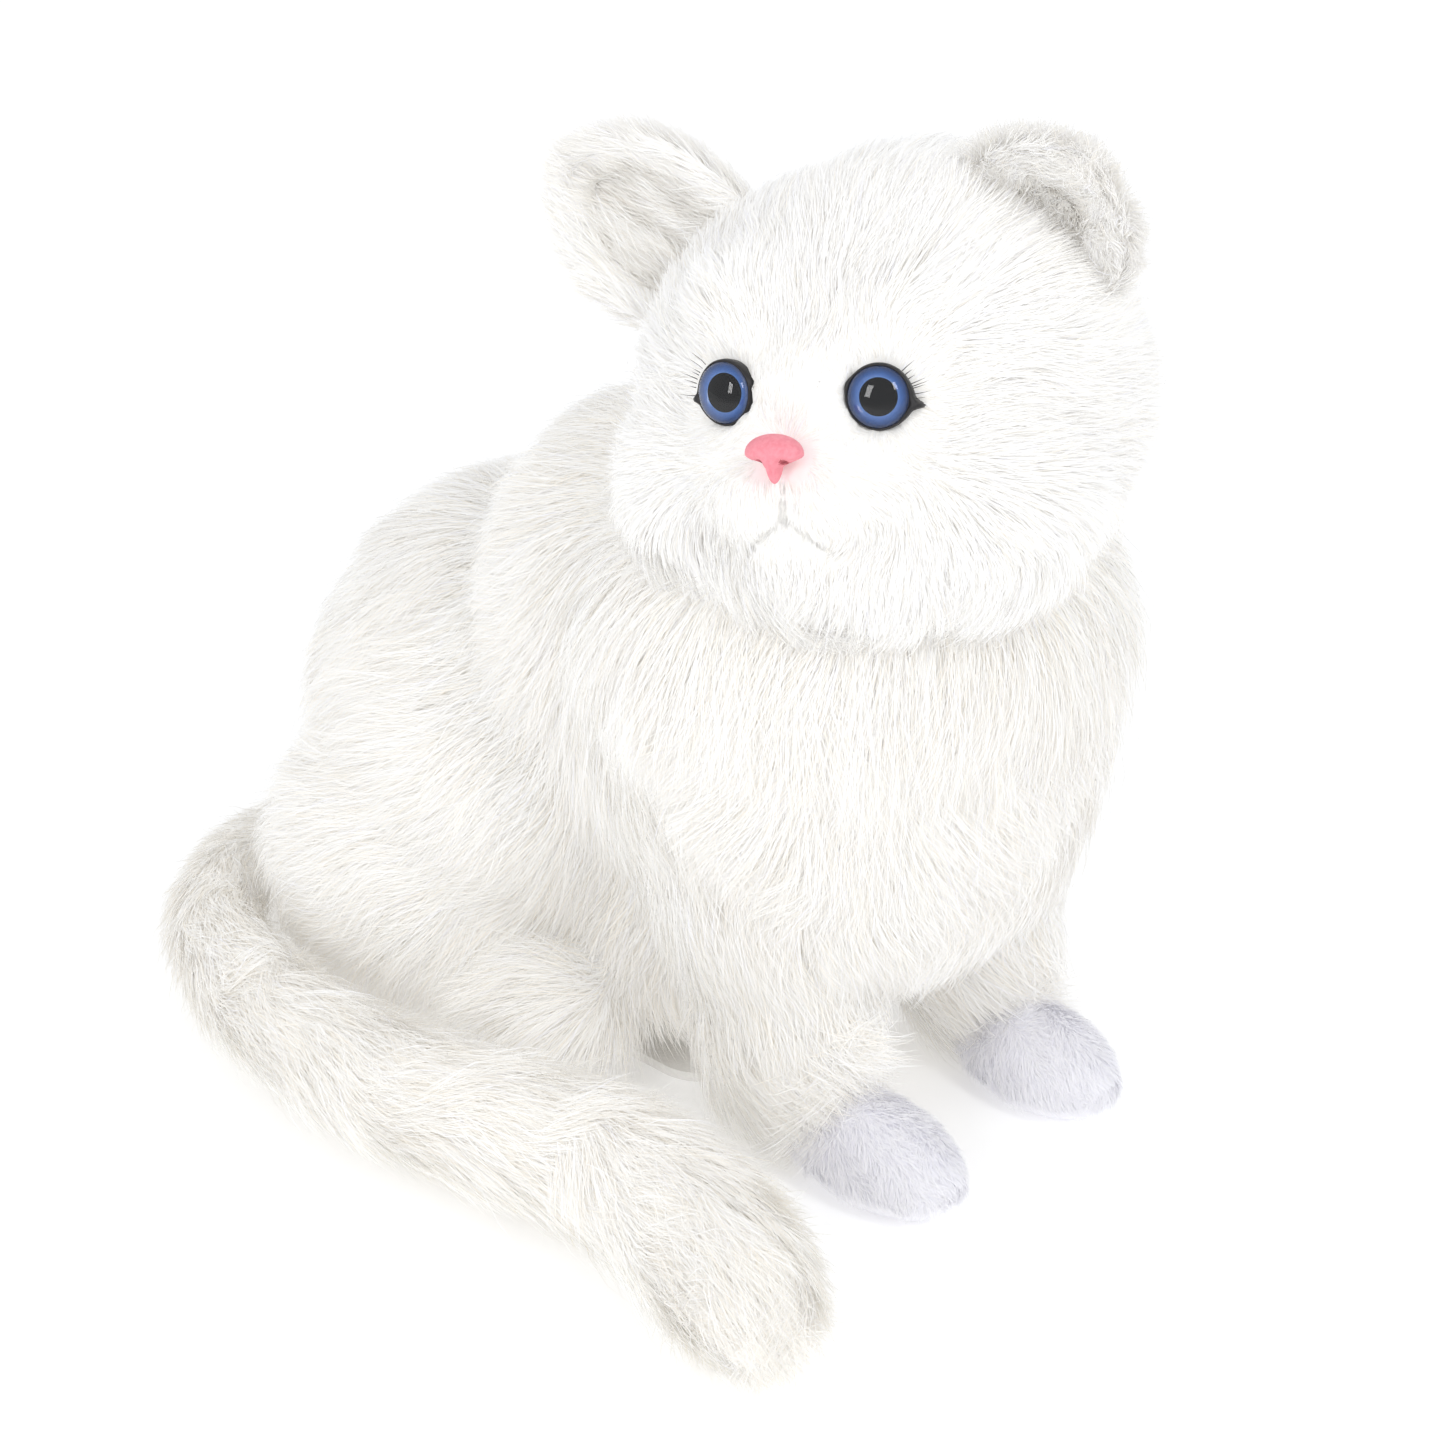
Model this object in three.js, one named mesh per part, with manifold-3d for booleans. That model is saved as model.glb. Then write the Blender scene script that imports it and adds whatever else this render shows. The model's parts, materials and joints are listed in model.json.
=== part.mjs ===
// Sitting long-haired plush cat with a mechanism inside: it turns its head, sweeps its tail and purrs.
// Millimetres, +Z up. The cat sits on z = 0 with its body facing -Y, so its right side is -X.
// The origin is on the flat underside of the base plate, just in front of the battery door.
import * as THREE from 'three';
import { mergeVertices } from 'three/addons/utils/BufferGeometryUtils.js';
import Module from 'manifold-3d';

const wasm = await Module();
wasm.setup();
const degrees = THREE.MathUtils.degToRad;

// ---- driving dimensions -------------------------------------------------------------------------

const GAP = 0.3; // between two pieces that touch
const RUN = 0.6; // round a piece that turns or slides
const SIDES = { left: 1, right: -1 };

const NECK = [0, -60]; // the head turns about this vertical axis
const TAIL = [0, 90]; // and the tail about this one
const HEAD = { centre: [-1, -70, 185], radii: [60, 56, 52], turn: -69, tilt: -17, roll: -9 };
const SKULL = { radii: [40, 38, 32], wall: 2.5 };
const FLOOR = 0.4; // the fur cover stops this far above the surface that the cat sits on

const PLATE = { half: 31, front: -40, back: 101, thick: 2.5, corner: 14 };
const BAY = { half: 24.5, front: 9.5, back: 64.5, boss: 74, top: 21 }; // for the batteries
const CELL = { radius: 7, length: 50, pitch: 15.6, z: 11.8, nub: 2.7, nubLong: 1.2 };
const HOUSING = { half: 26, front: -48, back: 34, bottom: 24, top: 104, wall: 2 };
const DECK = { half: 23, front: -79, back: -20, bottom: 104.3, thick: 3 };
const GEARS = { thick: 6, bore: 3.4 };
const HEAD_TRAIN = { wheel: 36, pinion: 12, module: 1, z: 109 };
const TAIL_TRAIN = { wheel: 24, pinion: 10, module: 1, z: 26 };
const MOTOR = { radius: 9, length: 28, spigot: 3, shaft: 1.5 };
const PLUNGER = { cap: 9, capThick: 3, stem: 3.5 };
const EYE = { spread: 18, z: 5, y: -50, aim: 13, radius: 6.8 };
const NOSE = { y: -66, z: -7, radii: [7, 5, 6] };
const SPRING = { radius: 5.4, wire: 0.5 };
const SCREW = { shaft: 1.5, head: 3, headThick: 1.9 };
const EAR_RADII = [22, 8, 25];

// ---- making shapes ------------------------------------------------------------------------------

function solidOf(geometry) {
  const bare = geometry.clone();
  bare.deleteAttribute('normal');
  bare.deleteAttribute('uv');
  const merged = mergeVertices(bare, 1e-4);
  const corners = new Uint32Array(merged.index.array);
  const build = () => new wasm.Manifold(new wasm.Mesh({
    numProp: 3,
    vertProperties: merged.attributes.position.array,
    triVerts: corners,
  }));
  const solid = build();
  if (solid.volume() > 0) return solid;
  corners.reverse();
  return build();
}

function geometryOf(solid) {
  const mesh = solid.getMesh();
  const geometry = new THREE.BufferGeometry();
  geometry.setAttribute('position', new THREE.BufferAttribute(new Float32Array(mesh.vertProperties), 3));
  geometry.setIndex(new THREE.BufferAttribute(new Uint32Array(mesh.triVerts), 1));
  geometry.computeVertexNormals();
  return geometry;
}

function combine(first, others, how) {
  return geometryOf(others.reduce((solid, other) => solid[how](solidOf(other)), solidOf(first)));
}

const join = (first, ...others) => combine(first, others, 'add');
const cut = (first, ...others) => combine(first, others, 'subtract');
const common = (first, ...others) => combine(first, others, 'intersect');

// A shape turned about +Z, from [radius, height] corners.
function turned(corners, segments = 24) {
  const points = corners.map(([radius, height]) => new THREE.Vector2(radius, height));
  return new THREE.LatheGeometry(points, segments).rotateX(Math.PI / 2);
}

function rod(radius, bottom, top, segments = 24) {
  return turned([[0, bottom], [radius, bottom], [radius, top], [0, top]], segments);
}

function ring(outer, inner, bottom, top, segments = 24) {
  return turned([[inner, bottom], [outer, bottom], [outer, top], [inner, top], [inner, bottom]], segments);
}

function block([left, right], [front, back], [bottom, top]) {
  const box = new THREE.BoxGeometry(right - left, back - front, top - bottom);
  return box.translate((left + right) / 2, (front + back) / 2, (bottom + top) / 2);
}

function egg(centre, radii, grow = 0, round = 18, high = 10) {
  const ball = new THREE.SphereGeometry(1, round, high).rotateX(Math.PI / 2);
  return ball.scale(...radii.map((radius) => radius + grow)).translate(...centre);
}

// A plate with round corners.
function plate(half, front, back, bottom, thick, corner) {
  const shape = new THREE.Shape();
  shape.moveTo(-half + corner, front);
  shape.lineTo(half - corner, front);
  shape.absarc(half - corner, front + corner, corner, -Math.PI / 2, 0);
  shape.absarc(half - corner, back - corner, corner, 0, Math.PI / 2);
  shape.absarc(-half + corner, back - corner, corner, Math.PI / 2, Math.PI);
  shape.absarc(-half + corner, front + corner, corner, Math.PI, 1.5 * Math.PI);
  const solid = new THREE.ExtrudeGeometry(shape, { depth: thick, bevelEnabled: false, curveSegments: 6 });
  return solid.translate(0, 0, bottom);
}

// A spur gear whose first tooth is centred at the angle "start".
function gear({ teeth, module, bore, start = 0 }) {
  const pitch = (teeth * module) / 2;
  const step = (2 * Math.PI) / teeth;
  const profile = [[-0.33, -1.15], [-0.1, 0.85], [0.1, 0.85], [0.33, -1.15]];
  const shape = new THREE.Shape();
  for (let tooth = 0; tooth < teeth; tooth += 1) {
    for (const [along, out] of profile) {
      const angle = start + (tooth + along) * step;
      const radius = pitch + out * module;
      const point = [radius * Math.cos(angle), radius * Math.sin(angle)];
      if (shape.curves.length || tooth || along > -0.33) shape.lineTo(...point);
      else shape.moveTo(...point);
    }
  }
  shape.closePath();
  const solid = new THREE.ExtrudeGeometry(shape, { depth: GEARS.thick, bevelEnabled: false });
  return cut(solid, rod(bore, -1, GEARS.thick + 1, 16));
}

// A round section carried along a curve: radiusAt(0..1) gives its radius, and both ends are closed.
function carried(curve, radiusAt, rings, around, grow = 0) {
  const corners = [new THREE.Vector2(0, 0)];
  for (let i = 0; i <= rings; i += 1) corners.push(new THREE.Vector2(radiusAt(i / rings) + grow, i / rings));
  corners.push(new THREE.Vector2(0, 1));
  const tube = new THREE.LatheGeometry(corners, around);
  const place = tube.attributes.position;
  const side = new THREE.Vector3();
  const up = new THREE.Vector3(0, 0, 1);
  for (let i = 0; i < place.count; i += 1) {
    const along = curve.getPointAt(place.getY(i));
    side.crossVectors(up, curve.getTangentAt(place.getY(i))).normalize();
    along.addScaledVector(side, place.getX(i)).addScaledVector(up, place.getZ(i));
    place.setXYZ(i, along.x, along.y, along.z);
  }
  return tube;
}

// A coil spring along +Z.
function coil(radius, wire, bottom, top, turns) {
  const rise = top - bottom - 2 * wire;
  const points = [];
  for (let i = 0; i <= turns * 10; i += 1) {
    const angle = (i / 10) * 2 * Math.PI;
    const z = bottom + wire + (rise * i) / (turns * 10);
    points.push(new THREE.Vector3(radius * Math.cos(angle), radius * Math.sin(angle), z));
  }
  const section = new THREE.Shape().absarc(0, 0, wire, 0, 2 * Math.PI);
  const path = new THREE.CatmullRomCurve3(points);
  const options = { steps: turns * 9, extrudePath: path, bevelEnabled: false, curveSegments: 3 };
  return new THREE.ExtrudeGeometry(section, options);
}

const at = (geometry, x, y, z = 0) => geometry.translate(x, y, z);
const above = (bottom) => block([-300, 300], [-300, 300], [bottom, 400]);

// ---- materials ----------------------------------------------------------------------------------

function material(color, roughness, metalness = 0) {
  return new THREE.MeshStandardMaterial({ color, roughness, metalness });
}

const MATERIALS = {
  fur: material(0xf7f5f1, 0.95),
  felt: material(0xe8e6f0, 0.95),
  lining: material(0xe4ddd2, 0.9),
  vinyl: material(0xfa96a0, 0.55),
  lid: material(0x121214, 0.4),
  iris: material(0x4a78c8, 0.3),
  pupil: material(0x050507, 0.2),
  lens: material(0xeef4fb, 0.05),
  casing: material(0xdfe2e6, 0.6),
  gears: material(0xf2ead2, 0.5),
  metal: material(0xb9bdc2, 0.35, 0.9),
  board: material(0x1f6b3c, 0.5),
  black: material(0x1b1c1f, 0.6),
  cell: material(0xc9a13b, 0.4, 0.3),
};

const cat = new THREE.Group();

function add(name, geometry, look, parent = cat) {
  const mesh = new THREE.Mesh(geometry, MATERIALS[look]);
  mesh.name = name;
  parent.add(mesh);
  return mesh;
}

// ---- outer shapes of the soft parts --------------------------------------------------------------

const headGroup = new THREE.Group();
headGroup.position.set(...HEAD.centre);
headGroup.rotation.set(degrees(HEAD.tilt), degrees(HEAD.roll), degrees(HEAD.turn), 'ZYX');
headGroup.updateMatrix();
cat.add(headGroup);

const headShape = () => join(egg([0, 0, 0], HEAD.radii), egg([0, -45, -14], [28, 24, 19]));

// The room that the head needs as it turns.
const headSweep = () => egg([...NECK, HEAD.centre[2]], [72, 72, 54.5]);

function torsoShape() {
  const rump = egg([0, 40, 64], [62, 68, 65]);
  const seat = egg([0, 60, 26], [50, 48, 31]);
  const shoulders = egg([0, -8, 100], [52, 58, 70]);
  const chest = egg([0, -46, 95], [58, 51, 62]);
  const mane = egg([0, -60, 132], [67, 63, 54]);
  const belly = egg([0, -22, 44], [44, 48, 44]);
  return common(join(rump, seat, shoulders, chest, mane, belly), above(FLOOR));
}

const haunch = (side, grow = 0) => join(
  egg([45 * side, 42, 38], [36, 50, 41], grow),
  egg([46 * side, -4, 17], [22, 26, 17], grow),
);

const leg = (side, grow = 0) => join(
  egg([31 * side, -60, 74], [28, 32, 40], grow),
  egg([31 * side, -68, 38], [25.5, 28, 36], grow),
);

// The right paw reaches out a little further than the left one.
const PAWS = {
  right: { centre: [-31, -97, 12], radii: [16, 27, 14] },
  left: { centre: [27, -96, 12], radii: [15, 24, 14] },
};

function paw(side, grow = 0) {
  const { centre, radii } = side > 0 ? PAWS.left : PAWS.right;
  return egg(centre, radii, grow);
}

const tailCurve = new THREE.CatmullRomCurve3([
  [0, 90], [-26, 102], [-52, 101], [-77, 86], [-95, 56], [-103, 16],
  [-101, -24], [-93, -62], [-97, -102], [-114, -146],
].map(([x, y], i) => new THREE.Vector3(x, y, 16 + 0.85 * i)), false, 'centripetal');

const tailTip = (t) => Math.sqrt(Math.max(0, 1 - ((t - 0.94) / 0.06) ** 2));
const tailRadius = (t) => (12 + 10.5 * t) * (t > 0.94 ? 0.12 + 0.88 * tailTip(t) : 1);
const tailTube = (grow = 0, rings = 22) => carried(tailCurve, tailRadius, rings, 10, grow);

// The tail's outline at each step of its sweep about the tail axis.
function tailSweep() {
  return [4, -2, -8, -14, -20].map((turn) => {
    const tube = tailTube(1.4, 14).translate(-TAIL[0], -TAIL[1], 0);
    return tube.rotateZ(degrees(turn)).translate(TAIL[0], TAIL[1], 0);
  });
}

// ---- room for the mechanism in the torso ---------------------------------------------------------

const tailMotorAt = [0, TAIL[1] - ((TAIL_TRAIN.wheel + TAIL_TRAIN.pinion) / 2) * TAIL_TRAIN.module];
const headMotorAt = [0, NECK[1] + ((HEAD_TRAIN.wheel + HEAD_TRAIN.pinion) / 2) * HEAD_TRAIN.module];
const backButtonAt = [0, 12];

function cavity() {
  const { half, front, back, bottom, top } = HOUSING;
  const wide = half + 1;
  const low = block([-PLATE.half - 1, PLATE.half + 1], [PLATE.front - 1, PLATE.back + 1], [-5, bottom]);
  const room = block([-wide, wide], [front - 1, back + 1], [bottom - 1, top + 1]);
  const deck = block([-DECK.half - 1, DECK.half + 1], [DECK.front - 1, DECK.back + 1], [top - 1, 117]);
  const neck = at(rod(13, 116, 160), ...NECK);
  const button = at(rod(PLUNGER.cap + 1.5, top, 152), ...backButtonAt);
  const motor = at(rod(MOTOR.radius + 1, bottom - 1, 68), ...tailMotorAt);
  const bracket = block([-15, 15], [back, TAIL[1] + 9], [bottom - 1, 37]);
  const tailGear = at(rod(14.5, -5, 36), ...TAIL);
  return join(low, room, deck, neck, button, motor, bracket, tailGear);
}

const openings = cavity();

function addSoftBody() {
  const limbs = Object.values(SIDES).flatMap((side) => [haunch(side, GAP), leg(side, GAP)]);
  const paws = Object.values(SIDES).map((side) => paw(side, GAP));
  add('torso_plush', cut(torsoShape(), ...limbs, ...paws, openings, headSweep(), ...tailSweep()), 'fur');
  for (const [name, side] of Object.entries(SIDES)) {
    const thigh = cut(common(haunch(side), above(FLOOR)), leg(side, GAP), openings, ...tailSweep());
    add(`haunch_${name}`, thigh, 'fur');
    const sleeve = cut(common(leg(side), above(FLOOR)), paw(side, GAP), openings, headSweep());
    add(`front_leg_${name}`, sleeve, 'fur');
    add(`front_paw_${name}`, common(paw(side), above(0)), 'felt');
  }
}

// ---- base, batteries and switch -----------------------------------------------------------------

const SWITCH_AT = [17, -24];
const doorScrewAt = [0, 68];

function addBase() {
  const body = plate(PLATE.half, PLATE.front, PLATE.back, 0, PLATE.thick, PLATE.corner);
  const doorway = block([-BAY.half, BAY.half], [BAY.front, BAY.boss - 1.5], [-1, 5]);
  const [x, y] = SWITCH_AT;
  const slot = block([x - 5, x + 9], [y - 2.6, y + 2.6], [-1, 5]);
  add('base_plate', cut(body, doorway, slot), 'casing');
}

function addBatteryBox() {
  const wall = 2;
  const base = PLATE.thick + GAP;
  const wide = BAY.half + wall;
  const outer = block([-wide, wide], [BAY.front - wall, BAY.boss], [base, BAY.top + wall]);
  const inner = block([-BAY.half, BAY.half], [BAY.front, BAY.back], [base - 1, BAY.top]);
  const screwHole = at(rod(2.1, 0, 12, 12), ...doorScrewAt);
  add('battery_box', cut(outer, inner, screwHole), 'casing');
  [-1, 0, 1].forEach((place, i) => {
    const along = place === 0 ? -1 : 1;
    const middle = (BAY.front + BAY.back) / 2;
    const half = CELL.length / 2;
    const shoulder = half - CELL.nubLong;
    const body = turned([
      [0, -half], [CELL.radius, -half], [CELL.radius, shoulder],
      [CELL.nub, shoulder], [CELL.nub, half], [0, half],
    ], 20).rotateX((along * Math.PI) / 2);
    const x = place * CELL.pitch;
    add(`battery_${i + 1}`, at(body, x, middle, CELL.z), 'cell');
    const wound = coil(3.2, 0.3, 0, 2.1, 2).rotateX((-along * Math.PI) / 2);
    add(`battery_spring_${i + 1}`, at(wound, x, middle + along * (half + 0.2), CELL.z), 'metal');
  });
}

function addBatteryDoor() {
  const low = 0.3;
  const half = BAY.half - GAP;
  const back = BAY.boss - 1.5 - GAP;
  const slab = block([-half, half], [BAY.front + GAP, back], [low, PLATE.thick]);
  const grips = [-9, -6, -3, 0, 3].map((y) => block([-12, 12], [20 + y, 21 + y], [low - 1, low + 0.5]));
  const recess = at(rod(3.6, -1, 1.6, 16), ...doorScrewAt);
  const hole = at(rod(1.9, -1, 5, 12), ...doorScrewAt);
  add('battery_door', cut(slab, recess, hole, ...grips), 'casing');
  const screw = join(rod(3.2, low + 0.1, 1.3, 16), rod(1.5, 1.2, 10, 12));
  const cross = [0, 1].map((turn) => block([-0.4, 0.4], [-2, 2], [-1, 0.9]).rotateZ((turn * Math.PI) / 2));
  add('door_screw', at(cut(screw, ...cross), ...doorScrewAt), 'metal');
}

function addPowerSwitch() {
  const [x, y] = SWITCH_AT;
  const body = block([x - 9, x + 13], [y - 5, y + 5], [PLATE.thick + GAP, 11]);
  const track = block([x - 4, x + 8], [y - 2.2, y + 2.2], [0, 8]);
  add('switch_body', cut(body, track), 'black');
  const across = [y - 1.8, y + 1.8];
  const knob = join(block([x - 2.5, x + 2.5], across, [0.6, 7]), block([x - 3.5, x - 2.4], across, [3, 7]));
  add('power_switch', knob, 'black');
}

// ---- housing and what it holds ------------------------------------------------------------------

const HOUSING_SCREWS = [[19.5, 92], [-20, 32]]; // each is [y, z]
const SPEAKER_Z = 52;

// A shape made along +Z, laid along +X through a point of the x = 0 plane.
const crosswise = (geometry, [y, z]) => geometry.rotateY(Math.PI / 2).translate(0, y, z);

// Round holes in front of the speaker: one in the middle and six round it.
function speakerGrille(front) {
  const holes = [[0, 0]];
  for (let turn = 0; turn < 360; turn += 60) {
    holes.push([9 * Math.cos(degrees(turn)), 9 * Math.sin(degrees(turn))]);
  }
  return holes.map(([x, z]) => rod(2.5, -4, 4, 8).rotateX(Math.PI / 2).translate(x, front, SPEAKER_Z + z));
}

function housingShell() {
  const { half, front, back, bottom, top, wall } = HOUSING;
  const inside = half - wall;
  const outer = block([-half, half], [front, back], [bottom, top]);
  const inner = block([-inside, inside], [front + wall, back - wall], [bottom + wall, top - wall]);
  const bosses = HOUSING_SCREWS.map((place) => crosswise(rod(4, -half, half, 12), place));
  const holes = HOUSING_SCREWS.map((place) => {
    const bore = rod(SCREW.shaft + GAP, -half, half - 8, 12);
    const counterbore = rod(SCREW.head + GAP, -half - 1, 2.6 - half, 12);
    return crosswise(join(bore, counterbore), place);
  });
  const motorHole = at(rod(MOTOR.spigot + GAP, top - wall - 1, top + 1, 16), ...headMotorAt);
  const stemHole = at(rod(PLUNGER.stem + RUN, top - wall - 1, top + 1, 16), ...backButtonAt);
  const wireHole = block([-6, 6], [-12, -4], [bottom - 1, bottom + wall + 1]);
  const hollow = join(cut(outer, inner), ...bosses);
  return cut(hollow, ...speakerGrille(front), ...holes, motorHole, stemHole, wireHole);
}

function addHousing() {
  const shell = housingShell();
  for (const [name, side] of Object.entries(SIDES)) {
    const near = (side * GAP) / 2;
    const across = side > 0 ? [near, 60] : [-60, near];
    add(`housing_${name}`, common(shell, block(across, [-90, 90], [0, 130])), 'casing');
  }
  HOUSING_SCREWS.forEach((place, i) => {
    const start = GAP - HOUSING.half;
    const shaft = rod(SCREW.shaft, start + 0.7, 14, 10);
    const head = rod(SCREW.head, start, start + SCREW.headThick, 12);
    add(`housing_screw_${i + 1}`, crosswise(join(shaft, head), place), 'metal');
  });
}

function addBoard() {
  const face = HOUSING.back - HOUSING.wall - 4;
  const board = block([-21, 21], [face, face + 1.6], [42, 98]);
  const chips = [[-12, 70, 7], [8, 84, 5], [6, 56, 6]].map(([x, z, half]) => {
    return block([x - half, x + half], [face - 1.8, face + 0.2], [z - half, z + half]);
  });
  add('main_pcb', join(board, ...chips), 'board');
}

function addSpeaker() {
  const wall = HOUSING.front + HOUSING.wall;
  const unit = turned([
    [0, 2.4], [4, 3.2], [16, 1.2], [16, 0], [18, 0], [18, 1.5], [10, 5], [9, 5], [9, 12], [0, 12],
  ], 24);
  add('speaker', unit.rotateX(-Math.PI / 2).translate(0, wall + 0.4, SPEAKER_Z), 'black');
}

function motorShape(bottom, shaftTop) {
  const top = bottom + MOTOR.length;
  const can = rod(MOTOR.radius, bottom, top, 20);
  const spigot = rod(MOTOR.spigot, top - 1, top + 1.5, 16);
  return join(can, spigot, rod(MOTOR.shaft, top, shaftTop, 12));
}

function addPurrMotor() {
  const [x, y, z] = [-14, 2, 50];
  const can = join(rod(7, 0, 20, 18), rod(1, 19, 28, 8)).rotateY(Math.PI / 2);
  add('purr_motor', at(can, x, y, z), 'metal');
  const lobe = common(rod(8, 0, 5, 20), block([-9, 9], [-9, 0.01], [-1, 6]));
  const weight = cut(join(lobe, rod(2.6, 0, 5, 12)), rod(1.05 + GAP, -1, 6, 8));
  add('purr_weight', at(weight.rotateY(Math.PI / 2), x + 22, y, z), 'metal');
}

// ---- head drive ---------------------------------------------------------------------------------

function addHeadDrive() {
  const { wheel, pinion, module, z } = HEAD_TRAIN;
  const deckTop = DECK.bottom + DECK.thick;
  const deck = cut(
    block([-DECK.half, DECK.half], [DECK.front, DECK.back], [DECK.bottom, deckTop]),
    at(rod(8 + GAP, 100, 120), ...NECK),
    at(rod(MOTOR.spigot + GAP, 100, 120, 16), ...headMotorAt),
  );
  add('neck_deck', deck, 'casing');
  const bush = cut(join(rod(8, DECK.bottom, deckTop + 1), rod(10, deckTop + GAP, deckTop + 1.2)),
    rod(6 + 0.08, 100, 120));
  add('neck_bearing', at(bush, ...NECK), 'gears');
  const turnedTube = ring(6, 3.5, DECK.bottom, 160);
  const shaft = join(turnedTube, ring(12, 4, 143, 146));
  add('neck_shaft', at(shaft, ...NECK), 'casing');
  const half = Math.PI / wheel;
  const big = gear({ teeth: wheel, module, bore: 6 + GAP, start: Math.PI / 2 + half });
  add('neck_gear', at(big, ...NECK, z), 'gears');
  const small = gear({ teeth: pinion, module, bore: MOTOR.shaft + GAP, start: -Math.PI / 2 });
  add('head_pinion', at(small, ...headMotorAt, z), 'gears');
  const bottom = HOUSING.top - HOUSING.wall - GAP - MOTOR.length;
  add('head_motor', at(motorShape(bottom, z + GEARS.thick), ...headMotorAt), 'metal');
}

// ---- tail drive and tail ------------------------------------------------------------------------

function addTail() {
  const { wheel, pinion, module, z } = TAIL_TRAIN;
  const bracketBottom = z + GEARS.thick + 1;
  const post = join(rod(3, PLATE.thick + GAP, bracketBottom - GAP, 20), rod(6, PLATE.thick + GAP, 4));
  add('tail_post', at(post, ...TAIL), 'metal');
  const bracketTop = bracketBottom + 2.5;
  const strip = block([-13, 13], [HOUSING.back + GAP, TAIL[1] + 8], [bracketBottom, bracketTop]);
  const spigotHole = at(rod(MOTOR.spigot + GAP, 20, 60, 16), ...tailMotorAt);
  add('tail_bracket', cut(strip, spigotHole), 'casing');
  const big = gear({ teeth: wheel, module, bore: 7 + GAP, start: -Math.PI / 2 + Math.PI / wheel });
  add('tail_gear', at(big, ...TAIL, z), 'gears');
  const small = gear({ teeth: pinion, module, bore: MOTOR.shaft + GAP, start: Math.PI / 2 });
  add('tail_pinion', at(small, ...tailMotorAt, z), 'gears');
  const motor = motorShape(0, 10 + MOTOR.length).rotateX(Math.PI);
  add('tail_motor', at(motor, ...tailMotorAt, bracketTop + GAP + MOTOR.length), 'metal');
  addTailCore();
}

function addTailCore() {
  const bottom = 4.6;
  const top = TAIL_TRAIN.z + GEARS.thick;
  const spine = new THREE.CatmullRomCurve3(tailCurve.getSpacedPoints(40).slice(0, 35));
  const core = carried(spine, () => 3, 20, 8);
  const hub = at(join(rod(9, bottom, TAIL_TRAIN.z - GAP), rod(7, bottom, top)), ...TAIL);
  const bore = at(rod(3 + GAP, 0, 60, 20), ...TAIL);
  add('tail_core', cut(join(core, hub), bore), 'gears');
  const root = at(rod(13.4, 3.4, TAIL_TRAIN.z - 1), ...TAIL);
  const cover = common(join(tailTube(), root), block([-300, 300], [-300, 300], [1, 90]));
  const room = [carried(spine, () => 3 + GAP, 20, 8), at(rod(9 + GAP, 0, 60), ...TAIL)];
  add('tail_plush', cut(cover, at(rod(16, TAIL_TRAIN.z - 1, 60), ...TAIL), ...room), 'fur');
}

// ---- touch plungers -----------------------------------------------------------------------------

function plunger(bottom, top) {
  return join(rod(PLUNGER.stem, bottom, top - 1, 16), rod(PLUNGER.cap, top - PLUNGER.capThick, top, 20));
}

function addBackButton() {
  const top = 149;
  const seat = HOUSING.top;
  add('back_button', at(plunger(seat - 6, top), ...backButtonAt), 'casing');
  const spring = coil(SPRING.radius, SPRING.wire, seat + GAP, top - PLUNGER.capThick - GAP, 4);
  add('back_button_spring', at(spring, ...backButtonAt), 'metal');
}

function addHeadButton() {
  const top = HEAD.radii[2] - 6;
  add('head_button', plunger(SKULL.radii[2] - 8, top), 'casing', headGroup);
  const seat = SKULL.radii[2] + 2 * GAP;
  const spring = coil(SPRING.radius, SPRING.wire, seat, top - PLUNGER.capThick - GAP, 2);
  add('head_button_spring', spring, 'metal', headGroup);
}

// ---- head ---------------------------------------------------------------------------------------

// An eye's own frame: its axis is +Z there, and points out of the face here.
function inEyeFrame(geometry, side) {
  geometry.rotateX(Math.PI / 2).rotateZ(degrees(EYE.aim * side));
  return geometry.translate(EYE.spread * side, EYE.y, EYE.z);
}

// The neck opening, upright whatever the head's tilt.
function neckHole(radius) {
  const back = headGroup.matrix.clone().invert();
  return at(rod(radius, 100, 163), ...NECK).applyMatrix4(back);
}

function addSkull() {
  const { radii, wall } = SKULL;
  const eyes = Object.values(SIDES).map((side) => inEyeFrame(rod(3 + GAP, -30, 0, 16), side));
  const nose = rod(2 + GAP, -20, 60, 12).rotateX(Math.PI / 2).translate(0, 0, NOSE.z);
  const button = rod(PLUNGER.stem + RUN, 10, 60, 16);
  const hollow = cut(egg([0, 0, 0], radii), egg([0, 0, 0], radii, -wall));
  const shell = cut(hollow, neckHole(6 + RUN), ...eyes, nose, button);
  const room = [-100, 100];
  const front = common(shell, block(room, [room[0], -GAP / 2], room));
  const rear = common(shell, block(room, [GAP / 2, room[1]], room));
  add('skull_front', front, 'casing', headGroup);
  add('skull_rear', rear, 'casing', headGroup);
}

function addHeadPlush() {
  const sides = Object.values(SIDES);
  const eyePockets = sides.map((side) => inEyeFrame(rod(EYE.radius + 2 + GAP, -20, 20, 16), side));
  const earRoots = sides.map((side) => ear(side, GAP));
  const nosePocket = egg([0, NOSE.y, NOSE.z], NOSE.radii, GAP, 14, 9);
  const noseStem = rod(2 + GAP, 20, -NOSE.y, 12).rotateX(Math.PI / 2).translate(0, 0, NOSE.z);
  const buttonRoom = rod(PLUNGER.cap + 1, 25, HEAD.radii[2] - 4);
  const stuffing = cut(headShape(), egg([0, 0, 0], SKULL.radii, GAP + 0.2), neckHole(14));
  const cover = cut(stuffing, ...eyePockets, ...earRoots, nosePocket, noseStem, buttonRoom);
  add('head_plush', cover, 'fur', headGroup);
}

// Each ear is a cupped leaf. The right ear stands out sideways and the left one is folded forward.
const EAR_POSE = {
  right: { place: [-59, 2, 39], tip: -50, lean: 12, facing: 10 },
  left: { place: [44, -14, 42], tip: 30, lean: 48, facing: -14 },
};

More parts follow.
